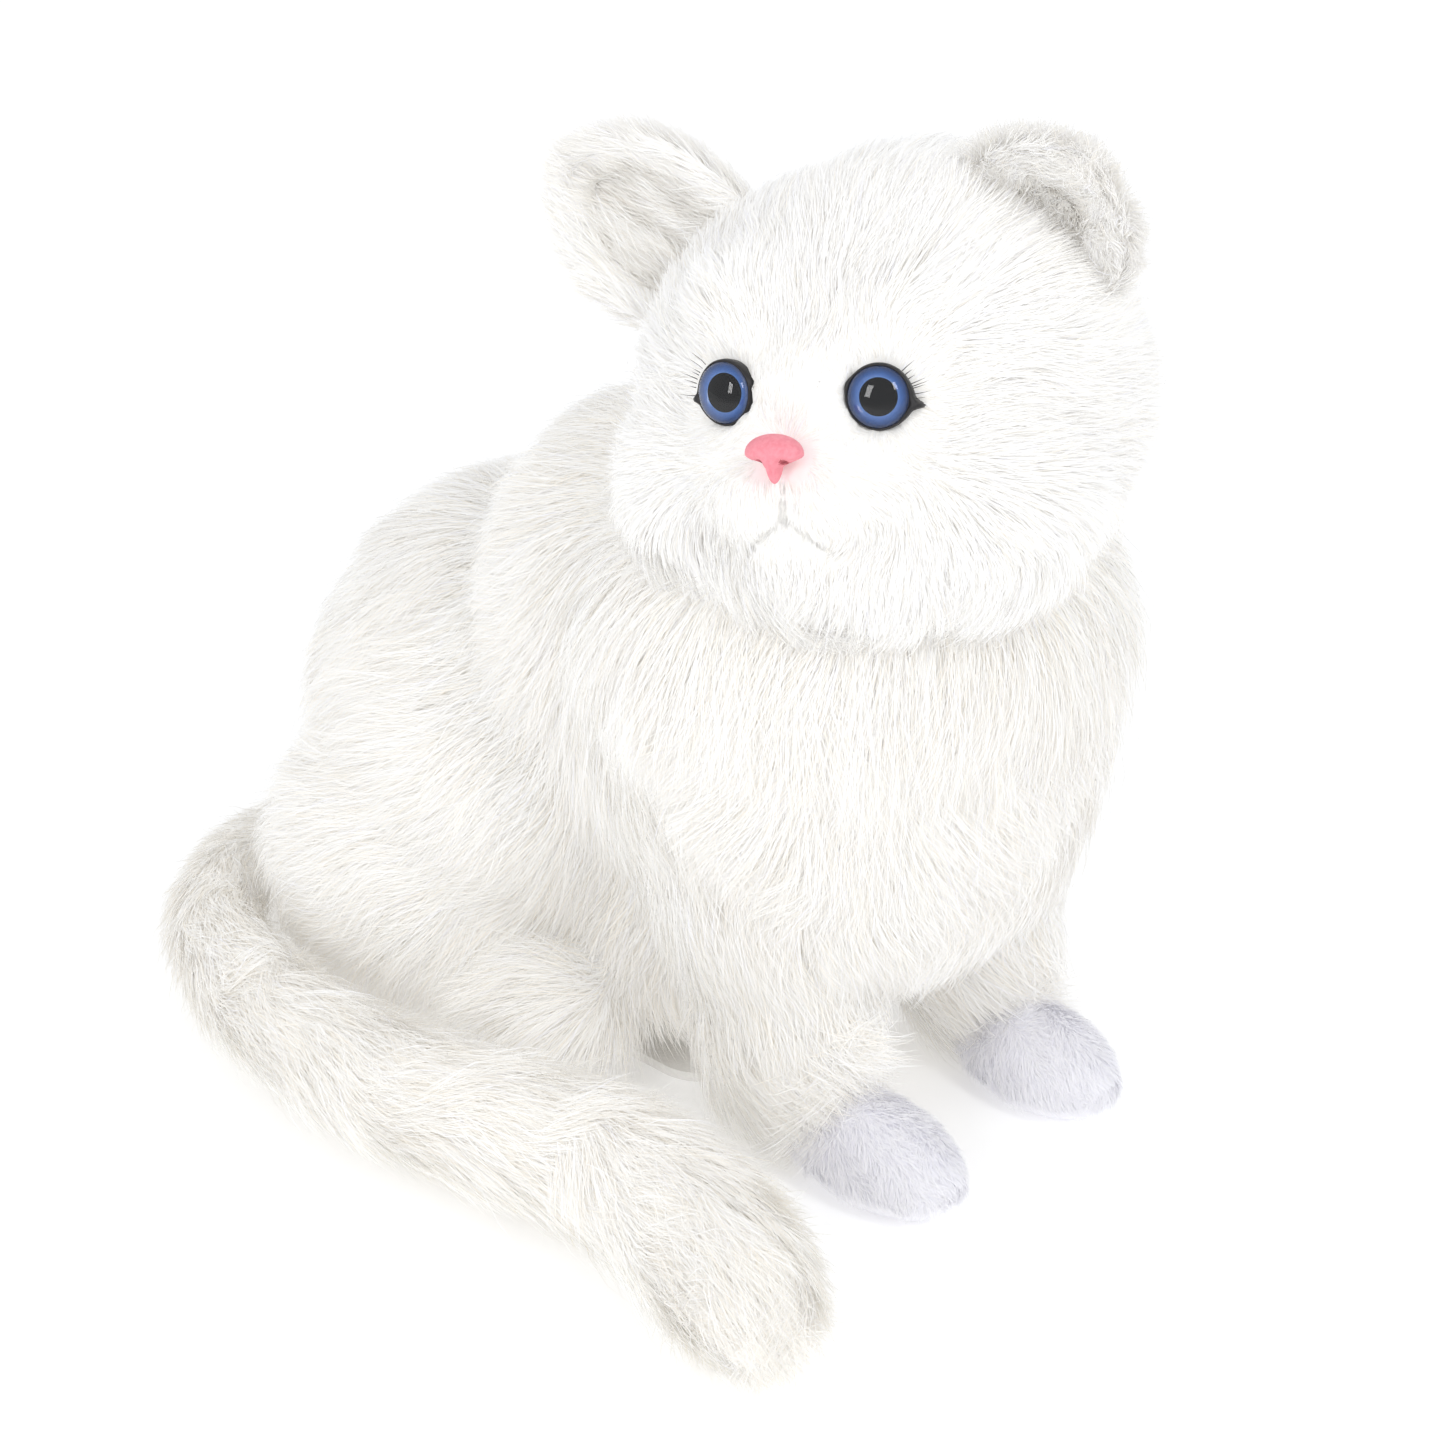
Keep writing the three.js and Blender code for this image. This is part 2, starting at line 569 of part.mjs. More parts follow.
function earPlaced(geometry, side) {
  const pose = side > 0 ? EAR_POSE.left : EAR_POSE.right;
  geometry.rotateY(degrees(pose.tip)).rotateX(degrees(pose.lean)).rotateZ(degrees(pose.facing));
  return geometry.translate(...pose.place);
}

function ear(side, grow = 0) {
  return earPlaced(egg([0, 0, 0], EAR_RADII, grow, 14, 9), side);
}

function addEars() {
  for (const [name, side] of Object.entries(SIDES)) {
    const hollow = (grow) => earPlaced(egg([0, -6, 0], [17, 7, 19], grow, 14, 9), side);
    const mouth = earPlaced(egg([0, -9, 0], [21, 8, 23], 0, 14, 9), side);
    add(`ear_${name}`, cut(ear(side), hollow(GAP)), 'fur', headGroup);
    add(`ear_lining_${name}`, cut(hollow(0), mouth), 'lining', headGroup);
  }
}

function addEyes() {
  const r = EYE.radius;
  for (const [name, side] of Object.entries(SIDES)) {
    const edge = [[0, 0], [r + 2, 0], [r + 2, 1.6], [r + 0.4, 3.4], [r + 0.4, 1], [0, 1], [0, 0]];
    const rim = join(turned(edge, 22), rod(3, -18, 0.5, 16));
    add(`eye_rim_${name}`, inEyeFrame(rim, side), 'lid', headGroup);
    add(`eye_iris_${name}`, inEyeFrame(ring(r, 3.6, 1 + GAP, 2, 22), side), 'iris', headGroup);
    add(`eye_pupil_${name}`, inEyeFrame(rod(3.6 - GAP, 1 + GAP, 2, 20), side), 'pupil', headGroup);
    const dome = [[0, 2 + GAP], [r, 2 + GAP]];
    for (let i = 1; i < 6; i += 1) {
      const angle = (i * Math.PI) / 12;
      dome.push([r * Math.cos(angle), 2 + GAP + 0.8 + 4 * Math.sin(angle)]);
    }
    dome.push([0, 2 + GAP + 4.8]);
    add(`eye_lens_${name}`, inEyeFrame(turned(dome, 22), side), 'lens', headGroup);
  }
}

function addNose() {
  const pad = egg([0, NOSE.y, NOSE.z], NOSE.radii, 0, 14, 9);
  const stem = rod(2, 30, -NOSE.y, 12).rotateX(Math.PI / 2).translate(0, 0, NOSE.z);
  add('nose', join(pad, stem), 'vinyl', headGroup);
}

// ---- the whole cat ------------------------------------------------------------------------------

addSoftBody();
addBase();
addBatteryBox();
addBatteryDoor();
addPowerSwitch();
addHousing();
addBoard();
addSpeaker();
addPurrMotor();
addHeadDrive();
addTail();
addBackButton();
addSkull();
addHeadPlush();
addHeadButton();
addEars();
addEyes();
addNose();

export default cat;
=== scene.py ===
"""A sitting white long-haired plush cat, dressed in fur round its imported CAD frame.

Soft covers are smooth skins grown from ovals, and every hair is a tapered ribbon rooted on them.
"""
import json
import math

import bmesh
import bpy
import numpy as np
from mathutils import Euler, Matrix, Vector


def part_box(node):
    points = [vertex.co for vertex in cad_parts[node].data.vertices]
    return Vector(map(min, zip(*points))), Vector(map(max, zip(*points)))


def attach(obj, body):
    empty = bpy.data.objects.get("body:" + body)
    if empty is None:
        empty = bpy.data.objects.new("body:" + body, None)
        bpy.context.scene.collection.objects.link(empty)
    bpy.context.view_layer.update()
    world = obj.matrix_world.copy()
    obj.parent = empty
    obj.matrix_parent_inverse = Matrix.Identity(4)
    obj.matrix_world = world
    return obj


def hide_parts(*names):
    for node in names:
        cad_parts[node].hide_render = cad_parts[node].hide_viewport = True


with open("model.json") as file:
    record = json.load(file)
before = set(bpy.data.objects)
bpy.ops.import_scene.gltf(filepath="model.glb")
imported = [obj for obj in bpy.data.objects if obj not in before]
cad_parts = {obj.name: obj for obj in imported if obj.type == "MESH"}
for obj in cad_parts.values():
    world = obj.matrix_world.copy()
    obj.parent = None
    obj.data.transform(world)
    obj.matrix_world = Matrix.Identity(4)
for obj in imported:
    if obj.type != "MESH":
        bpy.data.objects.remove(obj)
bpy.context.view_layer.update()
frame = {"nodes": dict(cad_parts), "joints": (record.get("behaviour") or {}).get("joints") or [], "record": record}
MM = 0.001
SIDES = {"left": 1, "right": -1}
UP = np.array([0.0, 0.0, 1.0])
FLOOR_GAP = 0.0008
HAIRS_PER_MM2 = {"body": 2.7, "head": 2.4, "tail": 2.8}


# ---- places taken from the frame -----------------------------------------------------------------

def middle(*nodes):
    """The centre of the box round some CAD nodes, in metres."""
    boxes = [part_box(node) for node in nodes]
    low = np.min([np.array(box[0]) for box in boxes], axis=0)
    high = np.max([np.array(box[1]) for box in boxes], axis=0)
    return (low + high) / 2


def joint_place(name):
    joint = next(j for j in frame["joints"] if j["name"] == name)
    return np.array(joint["pos_m"])


NECK = joint_place("head_turn")
TAIL_ROOT = joint_place("tail_sweep")
SKULL = middle("skull_front", "skull_rear")
HEAD_POSE = Euler([math.radians(a) for a in (-17, -9, -69)], "XYZ").to_matrix()
HEAD_AXES = np.array(HEAD_POSE)


def in_head(*place):
    """A point given in mm from the head's centre, with the face towards -Y, as a point of the frame."""
    return SKULL + HEAD_AXES @ (np.array(place) * MM)


def to_head(points):
    """Points of the frame as mm in the head's own axes."""
    return (points - SKULL) @ HEAD_AXES / MM


# ---- camera --------------------------------------------------------------------------------------

def make_camera():
    aim = Vector((-0.0099, -0.0254, 0.0887))
    azimuth, elevation, distance = math.radians(-44.8), math.radians(28.15), 1.2
    back = Vector((math.sin(azimuth) * math.cos(elevation), -math.cos(azimuth) * math.cos(elevation),
                   math.sin(elevation)))
    data = bpy.data.cameras.new("camera")
    data.lens = 125.6
    data.sensor_width = 36
    data.clip_end = 20
    camera = bpy.data.objects.new("camera", data)
    camera.location = aim + back * distance
    camera.rotation_euler = (-back).to_track_quat("-Z", "Y").to_euler()
    bpy.context.collection.objects.link(camera)
    bpy.context.scene.camera = camera


make_camera()


# ---- materials -----------------------------------------------------------------------------------

def new_material(name, color, roughness, metallic=0.0, **sockets):
    """A principled material. Extra sockets are given by name with underscores for spaces."""
    material = bpy.data.materials.new(name)
    material.use_nodes = True
    shader = material.node_tree.nodes["Principled BSDF"]
    shader.inputs["Base Color"].default_value = (*color, 1)
    shader.inputs["Roughness"].default_value = roughness
    shader.inputs["Metallic"].default_value = metallic
    for socket, value in sockets.items():
        shader.inputs[socket.replace("_", " ")].default_value = value
    return material


def nodes_of(material):
    tree = material.node_tree
    return tree.nodes, tree.links, tree.nodes["Principled BSDF"]


def add_noise(material, scale, detail=4, stretch=(1, 1, 1), roughness=0.6):
    """A noise texture in object space. Returns its node."""
    nodes, links, _ = nodes_of(material)
    place = nodes.new("ShaderNodeTexCoord")
    mapping = nodes.new("ShaderNodeMapping")
    mapping.inputs["Scale"].default_value = stretch
    noise = nodes.new("ShaderNodeTexNoise")
    noise.inputs["Scale"].default_value = scale
    noise.inputs["Detail"].default_value = detail
    noise.inputs["Roughness"].default_value = roughness
    links.new(place.outputs["Object"], mapping.inputs["Vector"])
    links.new(mapping.outputs["Vector"], noise.inputs["Vector"])
    return noise


def color_by(material, factor, low, high, start=0.35, end=0.65):
    """Base colour from low to high as a factor goes from start to end."""
    nodes, links, shader = nodes_of(material)
    ramp = nodes.new("ShaderNodeValToRGB")
    ramp.color_ramp.elements[0].position = start
    ramp.color_ramp.elements[0].color = (*low, 1)
    ramp.color_ramp.elements[1].position = end
    ramp.color_ramp.elements[1].color = (*high, 1)
    links.new(factor, ramp.inputs["Fac"])
    links.new(ramp.outputs["Color"], shader.inputs["Base Color"])
    return ramp


def bump_by(material, height, strength, distance):
    nodes, links, shader = nodes_of(material)
    bump = nodes.new("ShaderNodeBump")
    bump.inputs["Strength"].default_value = strength
    bump.inputs["Distance"].default_value = distance
    links.new(height, bump.inputs["Height"])
    links.new(bump.outputs["Normal"], shader.inputs["Normal"])


def grained(name, low, high, roughness, scale, bump=0.2, stretch=(1, 1, 1), metallic=0.0, **sockets):
    """A material whose colour and surface both vary with one noise."""
    material = new_material(name, high, roughness, metallic, **sockets)
    noise = add_noise(material, scale, stretch=stretch)
    color_by(material, noise.outputs["Fac"], low, high)
    bump_by(material, noise.outputs["Fac"], bump, 0.0004)
    return material


FUR_TONES = {
    "white": (0.957, 0.951, 0.940),
    "warm": (0.950, 0.935, 0.905),
    "cream": (0.935, 0.900, 0.835),
    "cool": (0.905, 0.905, 0.945),
    # shade is painted shade: a darker tone given only to the hairs along the mouth crease
    "shade": (0.76, 0.75, 0.73),
}


def fur_material(tone):
    """Hair of one tone. A faint glow stands for the light real hair passes from strand to strand."""
    color = FUR_TONES[tone]
    return new_material("fur_" + tone, color, 0.62, Sheen_Weight=0.3, Sheen_Roughness=0.5,
                        Specular_IOR_Level=0.15, Emission_Color=(*color, 1), Emission_Strength=0.06)


HAIR = [fur_material(tone) for tone in FUR_TONES]
SHADE = list(FUR_TONES).index("shade")
# The felt pile carries a faint painted glow, standing in for light passed from fibre to fibre.
FELT_HAIR = [
    new_material("felt_pale", (0.945, 0.94, 0.955), 0.8, Sheen_Weight=0.3, Specular_IOR_Level=0.15,
                 Emission_Color=(0.94, 0.935, 0.96, 1), Emission_Strength=0.05),
    new_material("felt_lavender", (0.90, 0.895, 0.935), 0.8, Sheen_Weight=0.3, Specular_IOR_Level=0.15,
                 Emission_Color=(0.90, 0.895, 0.94, 1), Emission_Strength=0.05),
]
LINING_HAIR = [
    new_material("lining_pale", (0.93, 0.915, 0.885), 0.7, Sheen_Weight=0.3, Specular_IOR_Level=0.15),
    new_material("lining_beige", (0.90, 0.875, 0.83), 0.7, Sheen_Weight=0.3, Specular_IOR_Level=0.15),
]
BACKING = grained("plush_backing", (0.93, 0.91, 0.87), (0.96, 0.95, 0.93), 0.9, 220, 0.3)
FELT = grained("felt", (0.88, 0.875, 0.91), (0.92, 0.915, 0.945), 0.9, 600, 0.5)
LINING = grained("ear_lining", (0.80, 0.76, 0.70), (0.88, 0.85, 0.80), 0.85, 300, 0.4)


# ---- meshes --------------------------------------------------------------------------------------

def mesh_object(name, points, faces, material):
    mesh = bpy.data.meshes.new(name)
    mesh.from_pydata([tuple(point) for point in points], [], [tuple(face) for face in faces])
    mesh.materials.append(material)
    mesh.polygons.foreach_set("use_smooth", [True] * len(mesh.polygons))
    obj = bpy.data.objects.new(name, mesh)
    bpy.context.collection.objects.link(obj)
    return obj


def ball_points(level):
    """The corners and faces of a round ball of radius 1."""
    ball = bpy.data.meshes.new("ball")
    made = bmesh.new()
    bmesh.ops.create_icosphere(made, subdivisions=level, radius=1)
    made.to_mesh(ball)
    made.free()
    points = np.empty(len(ball.vertices) * 3)
    ball.vertices.foreach_get("co", points)
    faces = [tuple(polygon.vertices) for polygon in ball.polygons]
    bpy.data.meshes.remove(ball)
    return points.reshape(-1, 3), faces


def apply_modifiers(obj):
    """Puts a modified mesh in place of the object's own."""
    evaluated = obj.evaluated_get(bpy.context.evaluated_depsgraph_get())
    made = bpy.data.meshes.new_from_object(evaluated)
    obj.modifiers.clear()
    old = obj.data
    obj.data = made
    bpy.data.meshes.remove(old)


def skin_from(name, ovals, material, voxel=3.0, rounds=14):
    """One smooth closed skin round overlapping ovals: each is (centre, radii, axes), in metres."""
    ball, ball_faces = ball_points(4)
    points, faces = [], []
    for centre, radii, axes in ovals:
        start = sum(len(part) for part in points)
        points.append((ball * np.array(radii)) @ np.array(axes).T + np.array(centre))
        faces += [tuple(corner + start for corner in face) for face in ball_faces]
    obj = mesh_object(name, np.concatenate(points), faces, material)
    remesh = obj.modifiers.new("remesh", "REMESH")
    remesh.mode = "VOXEL"
    remesh.voxel_size = voxel * MM
    smooth = obj.modifiers.new("smooth", "SMOOTH")
    smooth.factor = 0.5
    smooth.iterations = rounds
    apply_modifiers(obj)
    obj.data.materials.clear()
    obj.data.materials.append(material)
    obj.data.polygons.foreach_set("use_smooth", [True] * len(obj.data.polygons))
    return obj


def corners_of(obj):
    points = np.empty(len(obj.data.vertices) * 3)
    obj.data.vertices.foreach_get("co", points)
    return points.reshape(-1, 3)


def move_corners(obj, points):
    obj.data.vertices.foreach_set("co", points.ravel())
    obj.data.update()


def normals_of(obj):
    normals = np.empty(len(obj.data.vertices) * 3)
    obj.data.vertices.foreach_get("normal", normals)
    return normals.reshape(-1, 3)


def area_of(obj):
    """A mesh's area in square mm."""
    return sum(polygon.area for polygon in obj.data.polygons) / MM ** 2


def keep_above(points, height):
    """Lifts any point that is lower than a height above the floor, in metres."""
    points[..., 2] = np.maximum(points[..., 2], height)


def smoothstep(low, high, value):
    t = np.clip((value - low) / (high - low), 0, 1)
    return t * t * (3 - 2 * t)


def unit(vectors):
    return vectors / np.maximum(np.linalg.norm(vectors, axis=-1, keepdims=True), 1e-9)


def across(vectors, normals):
    """The part of each vector that lies in the surface, as a unit vector."""
    return unit(vectors - normals * np.sum(vectors * normals, axis=1, keepdims=True))


def swirl(points, wave, seed, terms=5):
    """Smooth vector noise: points in metres, wave the size of its features in mm."""
    rng = np.random.default_rng(seed)
    value = np.zeros_like(points)
    for _ in range(terms):
        turn = unit(rng.normal(size=3)) * 2 * math.pi / (wave * MM) * rng.uniform(0.6, 1.5)
        phase = rng.uniform(0, 2 * math.pi, 3)
        value += np.sin((points @ turn)[:, None] + phase)
    return value / math.sqrt(terms)


# ---- fur -----------------------------------------------------------------------------------------

def sample_skin(obj, count, rng, keep=None):
    """Random roots over a skin, evenly by area: (points, normals).

    keep gives each root's chance of staying, from its point and normal.
    """
    mesh = obj.data
    mesh.calc_loop_triangles()
    triangles = np.empty(len(mesh.loop_triangles) * 3, np.int64)
    mesh.loop_triangles.foreach_get("vertices", triangles)
    triangles = triangles.reshape(-1, 3)
    points, normals = corners_of(obj), normals_of(obj)
    a, b, c = (points[triangles[:, i]] for i in range(3))
    area = np.linalg.norm(np.cross(b - a, c - a), axis=1)
    chosen = np.searchsorted(np.cumsum(area), rng.random(count) * area.sum())
    u, v = rng.random((2, count))
    flip = u + v > 1
    u[flip], v[flip] = 1 - u[flip], 1 - v[flip]
    weights = np.stack([1 - u - v, u, v], axis=1)[:, :, None]
    roots = (points[triangles[chosen]] * weights).sum(axis=1)
    up = unit((normals[triangles[chosen]] * weights).sum(axis=1))
    if keep is not None:
        kept = rng.random(count) < keep(roots, up)
        roots, up = roots[kept], up[kept]
    return roots, up


CELL_KEYS = (73856093, 19349663, 83492791)


def cell_means(points, values, size, seed):
    """Each point's tuft, a cell of a given size in mm with wandering borders, and tuft means of values."""
    warped = points / (size * MM) + 0.35 * swirl(points, size * 3.5, seed)
    cells = np.floor(warped).astype(np.int64)
    key = sum(cells[:, axis] * CELL_KEYS[axis] for axis in range(3))
    _, index, count = np.unique(key, return_inverse=True, return_counts=True)
    means = []
    for value in values:
        total = np.zeros((len(count), 3))
        for axis in range(3):
            total[:, axis] = np.bincount(index, value[:, axis], len(count))
        means.append((total / count[:, None])[index])
    return index, means


DRIFT = 0.10
CURL = 0.20
FLYAWAY_SHARE = 0.06
FLYAWAY_LIFT = 0.35


def hair_paths(roots, normals, comb, length, lift, levels, rng, seed, tuft=0.18, tuft_size=9, stray=0.14,
               bend=110):
    """Points along each hair, as (hairs, levels + 1, 3).

    Hairs lean along comb, gather in tufts and curl over a surface whose radius is bend, in mm.
    """
    count = len(roots)
    comb = across(comb + rng.normal(scale=stray, size=(count, 3)), normals)
    index, _ = cell_means(roots, (), tuft_size, seed)
    tufts = index.max() + 1
    drift = rng.normal(scale=DRIFT, size=(tufts, 3))[index]
    stretch = rng.uniform(0.88, 1.1, tufts)[index]
    comb = across(comb + drift, normals)
    aside = np.cross(normals, comb)
    curl = rng.normal(scale=CURL, size=tufts)[index] + rng.normal(scale=CURL, size=count)
    lift = lift * rng.uniform(0.7, 1.3, count) + (rng.random(count) < FLYAWAY_SHARE) * FLYAWAY_LIFT
    steps = np.linspace(0, 1, levels + 1)
    path = np.empty((count, levels + 1, 3))
    path[:, 0] = roots
    reach = (length * stretch * rng.uniform(0.6, 1.1, count) / levels)[:, None]
    for i in range(1, levels + 1):
        angle = (lift * (1 - 0.6 * steps[i]) - steps[i] * reach[:, 0] * levels / (bend * MM))[:, None]
        ahead = unit(comb + aside * (curl * 1.5 * steps[i])[:, None])
        path[:, i] = path[:, i - 1] + reach * (ahead * np.cos(angle) + normals * np.sin(angle))
    for size, strength in ((tuft_size, tuft), (tuft_size * 0.4, tuft * 0.8)):
        _, means = cell_means(roots, [path[:, i] for i in range(levels + 1)], size, seed + 7)
        for i in range(1, levels + 1):
            pull = strength * steps[i] ** 1.4
            path[:, i] += (means[i] - path[:, i]) * pull
    return path


def ribbons(name, path, normals, width, looks, tone, rng, body, soften=0.65):
    """A mesh of tapered ribbons, one per hair. tone gives each hair's material slot."""
    count, rows = path.shape[:2]
    levels = rows - 1
    ahead = unit(np.diff(path, axis=1))
    ahead = np.concatenate([ahead, ahead[:, -1:]], axis=1)
    around = np.repeat(normals[:, None], rows, axis=1)
    side = unit(np.cross(around, ahead))
    out = np.cross(ahead, side)
    twist = rng.uniform(-0.9, 0.9, count)[:, None, None]
    side = side * np.cos(twist) + out * np.sin(twist)
    face = np.cross(ahead, side)
    taper = (1 - np.linspace(0, 1, rows) ** 1.6) * 0.92 + 0.08
    half = side * (width[:, None] * taper / 2)[:, :, None]
    left, right = path - half, path + half
    points = np.empty((count, 2 * levels + 1, 3))
    points[:, 0:2 * levels:2] = left[:, :levels]
    points[:, 1:2 * levels:2] = right[:, :levels]
    points[:, -1] = path[:, -1]
    shade = unit(around * soften + face * (1 - soften))
    blended = np.empty_like(points)
    blended[:, 0:2 * levels:2] = shade[:, :levels]
    blended[:, 1:2 * levels:2] = shade[:, :levels]
    blended[:, -1] = shade[:, -1]
    keep_above(points, FLOOR_GAP)

    start = np.arange(count)[:, None] * (2 * levels + 1)
    loops = [start + np.array([[2 * i, 2 * i + 2, 2 * i + 3, 2 * i + 1]]) for i in range(levels - 1)]
    loops.append(start + np.array([[2 * levels - 2, 2 * levels, 2 * levels - 1]]))
    loops = np.concatenate(loops, axis=1).ravel()
    sizes = np.tile(np.array([4] * (levels - 1) + [3]), count)

    mesh = bpy.data.meshes.new(name)
    mesh.vertices.add(count * (2 * levels + 1))
    mesh.vertices.foreach_set("co", points.ravel())
    mesh.loops.add(len(loops))
    mesh.loops.foreach_set("vertex_index", loops.astype(np.int32))
    mesh.polygons.add(len(sizes))
    mesh.polygons.foreach_set("loop_start", np.concatenate([[0], np.cumsum(sizes)[:-1]]).astype(np.int32))
    for look in looks:
        mesh.materials.append(look)
    mesh.polygons.foreach_set("material_index", np.repeat(tone, levels).astype(np.int32))
    mesh.polygons.foreach_set("use_smooth", np.ones(len(sizes), bool))
    mesh.update(calc_edges=True)
    mesh.normals_split_custom_set_from_vertices(blended.reshape(-1, 3))
    obj = bpy.data.objects.new(name, mesh)
    bpy.context.collection.objects.link(obj)
    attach(obj, body)
    return obj


def tones(count, rng, shares):
    """A random material slot for each hair, with the given shares."""
    return rng.choice(len(shares), size=count, p=np.array(shares) / sum(shares))


# ---- body skin -----------------------------------------------------------------------------------

UNDERSIDE = np.array(next(m for m in frame["record"]["mounts"] if m["name"] == "underside")["pos_m"])
PILE = 6.5
TORSO_SPLIT = -0.02
HAUNCH = [((45, 42, 38), (36, 50, 41)), ((46, -4, 20), (24, 28, 19))]
LEG = [((31, -62, 72), (30, 34, 44)), ((31, -68, 38), (26.5, 29, 37))]


def mirrored(ovals):
    """The same ovals on the other side of the body."""
    return [((-x, y, z), radii) for (x, y, z), radii in ovals]


BODY = {
    "torso": [
        ((0, 40, 64), (62, 68, 65)),
        ((0, 60, 29), (53, 51, 31)),
        ((0, -8, 100), (52, 58, 70)),
        ((0, -46, 95), (58, 51, 62)),
        ((0, -60, 130), (67, 62, 52)),
        ((0, -69, 92), (60, 48, 55)),
        ((0, -66, 110), (64, 54, 50)),
        ((0, -22, 44), (44, 48, 44)),
        ((36, 30, 64), (34, 48, 38)),
        ((-36, 30, 64), (34, 48, 38)),
    ],
    "haunch_left": HAUNCH,
    "haunch_right": mirrored(HAUNCH),
    "leg_left": LEG,
    "leg_right": mirrored(LEG),
}
REGIONS = list(BODY)
HAUNCHES = slice(1, 3)
LEGS = slice(3, 5)
HEAD_SWEEP = ((0, -60, 185), (66, 66, 49))


def grown(oval, by=-PILE):
    """An oval in mm from the underside, larger by some mm, as (centre, radii, axes) in metres."""
    centre, radii = oval
    return UNDERSIDE + np.array(centre) * MM, (np.array(radii) + by) * MM, np.eye(3)


def depth_in(points, oval):
    """About how far outside an oval each point is, in mm, negative inside."""
    centre, radii = UNDERSIDE / MM + np.array(oval[0]), np.array(oval[1])
    away = (points / MM - centre) / radii
    return (np.linalg.norm(away, axis=1) - 1) * radii.mean()


def make_body_skin():
    """The stuffed cover of the trunk, haunches and front legs, hollowed under the head."""
    obj = skin_from("body_cover", [grown(oval) for ovals in BODY.values() for oval in ovals], BACKING,
                    rounds=45)
    points = corners_of(obj)
    centre, radii = UNDERSIDE + np.array(HEAD_SWEEP[0]) * MM, np.array(HEAD_SWEEP[1]) * MM
    away = (points - centre) / radii
    far = np.linalg.norm(away, axis=1)
    inside = far < 1
    away[inside, 2] = -np.sqrt(np.clip(1 - (away[inside, :2] ** 2).sum(axis=1), 0, 1))
    points = centre + away * radii
    keep_above(points, FLOOR_GAP)
    move_corners(obj, points)
    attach(obj, "body")
    return obj


body_skin = make_body_skin()


def region_weights(points):
    """How much each point belongs to each region of the body, as (points, regions)."""
    away = np.stack([np.min([depth_in(points, oval) for oval in BODY[name]], axis=0) for name in REGIONS])
    share = np.exp(-(away - away.min(axis=0)) / 4)
    return (share / share.sum(axis=0)).T


def body_comb(points, weights):
    """The way the body's hair lies, before it is laid along the surface."""
    place = (points - UNDERSIDE) / MM
    from_neck = points - NECK
    from_neck[:, 2] = 0
    from_neck = unit(from_neck)
    rear = np.array([0, 0.75, -0.65]) + np.zeros_like(points)
    rear[:, 0] = 0.35 * np.sign(place[:, 0]) * smoothstep(0, 30, np.abs(place[:, 0]))
    rear[:, 2] -= 1.2 * smoothstep(55, 20, place[:, 2])
    mane = from_neck * 0.35 - UP
    chest = np.array([0, -0.15, -1.0]) + np.zeros_like(points)
    to_rear = smoothstep(-30, 25, place[:, 1])[:, None]
    to_mane = smoothstep(85, 125, place[:, 2])[:, None]
    torso = (chest * (1 - to_mane) + mane * to_mane) * (1 - to_rear) + rear * to_rear
    haunch = np.array([0, 0.6, -0.8])
    low = smoothstep(48, 22, place[:, 2])[:, None]
    leg = np.array([0, -0.1, -1.0]) + np.array([0, -0.8, 0.2]) * low
    comb = weights[:, :1] * torso
    comb = comb + weights[:, HAUNCHES].sum(axis=1, keepdims=True) * haunch
    comb = comb + weights[:, LEGS].sum(axis=1, keepdims=True) * leg
    return comb + 0.28 * swirl(points, 70, 3) + 0.16 * swirl(points, 26, 4)


def body_length(points, weights):
    """Hair length in metres over the body."""
    place = (points - UNDERSIDE) / MM
    to_rear = smoothstep(-30, 25, place[:, 1])
    to_mane = smoothstep(80, 120, place[:, 2])
    under = smoothstep(14, 0, place[:, 2])
    torso = (26 + 10 * to_mane) * (1 - to_rear) + 27 * to_rear
    leg = weights[:, LEGS].sum(axis=1)
    cuff = 18 + 8 * smoothstep(50, 20, place[:, 2]) * (1 + smoothstep(-74, -90, place[:, 1]))
    length = weights[:, HAUNCHES].sum(axis=1) * 24 + leg * cuff + weights[:, 0] * torso
    return length * (1 - 0.35 * under * (1 - leg)) * MM


def make_body_fur(density):
    rng = np.random.default_rng(11)
    def keep(points, normals):
        from_neck = np.linalg.norm((points - NECK)[:, :2], axis=1) / MM
        under_head = (depth_in(points, HEAD_SWEEP) < 3) & (from_neck < 38)
        hidden = (normals[:, 2] < -0.9) | (points[:, 2] < 0.0015) | under_head
        return np.where(hidden, 0.0, 1.0)

    roots, normals = sample_skin(body_skin, int(area_of(body_skin) * density), rng, keep)
    weights = region_weights(roots)
    comb = body_comb(roots, weights)
    length = body_length(roots, weights)
    bowl = smoothstep(3, 0, depth_in(roots, HEAD_SWEEP))
    comb = comb * (1 - bowl[:, None]) + (roots - NECK) * [20, 20, 0] * bowl[:, None]
    length = length * (1 - 0.5 * bowl)
    rim = smoothstep(16, 4, depth_in(roots, HEAD_SWEEP))
    lift = np.radians(30 - 14 * rim)
    path = hair_paths(roots, normals, comb, length, lift, 3, rng, seed=21, tuft_size=11, bend=100)
    width = rng.uniform(0.17, 0.29, len(roots)) * MM
    tone = tones(len(roots), rng, (4, 4, 1.2, 0.3))
    owner = weights.argmax(axis=1)
    torso = owner == 0
    rear = roots[:, 1] > TORSO_SPLIT
    left = roots[:, 0] >= 0
    parts = {
        "fur_rump_left": (torso & rear & left, ()),
        "fur_rump_right": (torso & rear & ~left, ("torso_plush",)),
        "fur_chest_left": (torso & ~rear & left, ()),
        "fur_chest_right": (torso & ~rear & ~left, ()),
        "fur_haunch_left": (owner == 1, ("haunch_left",)),
        "fur_haunch_right": (owner == 2, ("haunch_right",)),
        "fur_leg_left": (owner == 3, ("front_leg_left",)),
        "fur_leg_right": (owner == 4, ("front_leg_right",)),
    }
    for name, (mine, nodes) in parts.items():
        obj = ribbons(name, path[mine], normals[mine], width[mine], HAIR, tone[mine], rng, "body")
        if nodes:
            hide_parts(*nodes)


# ---- head skin -----------------------------------------------------------------------------------

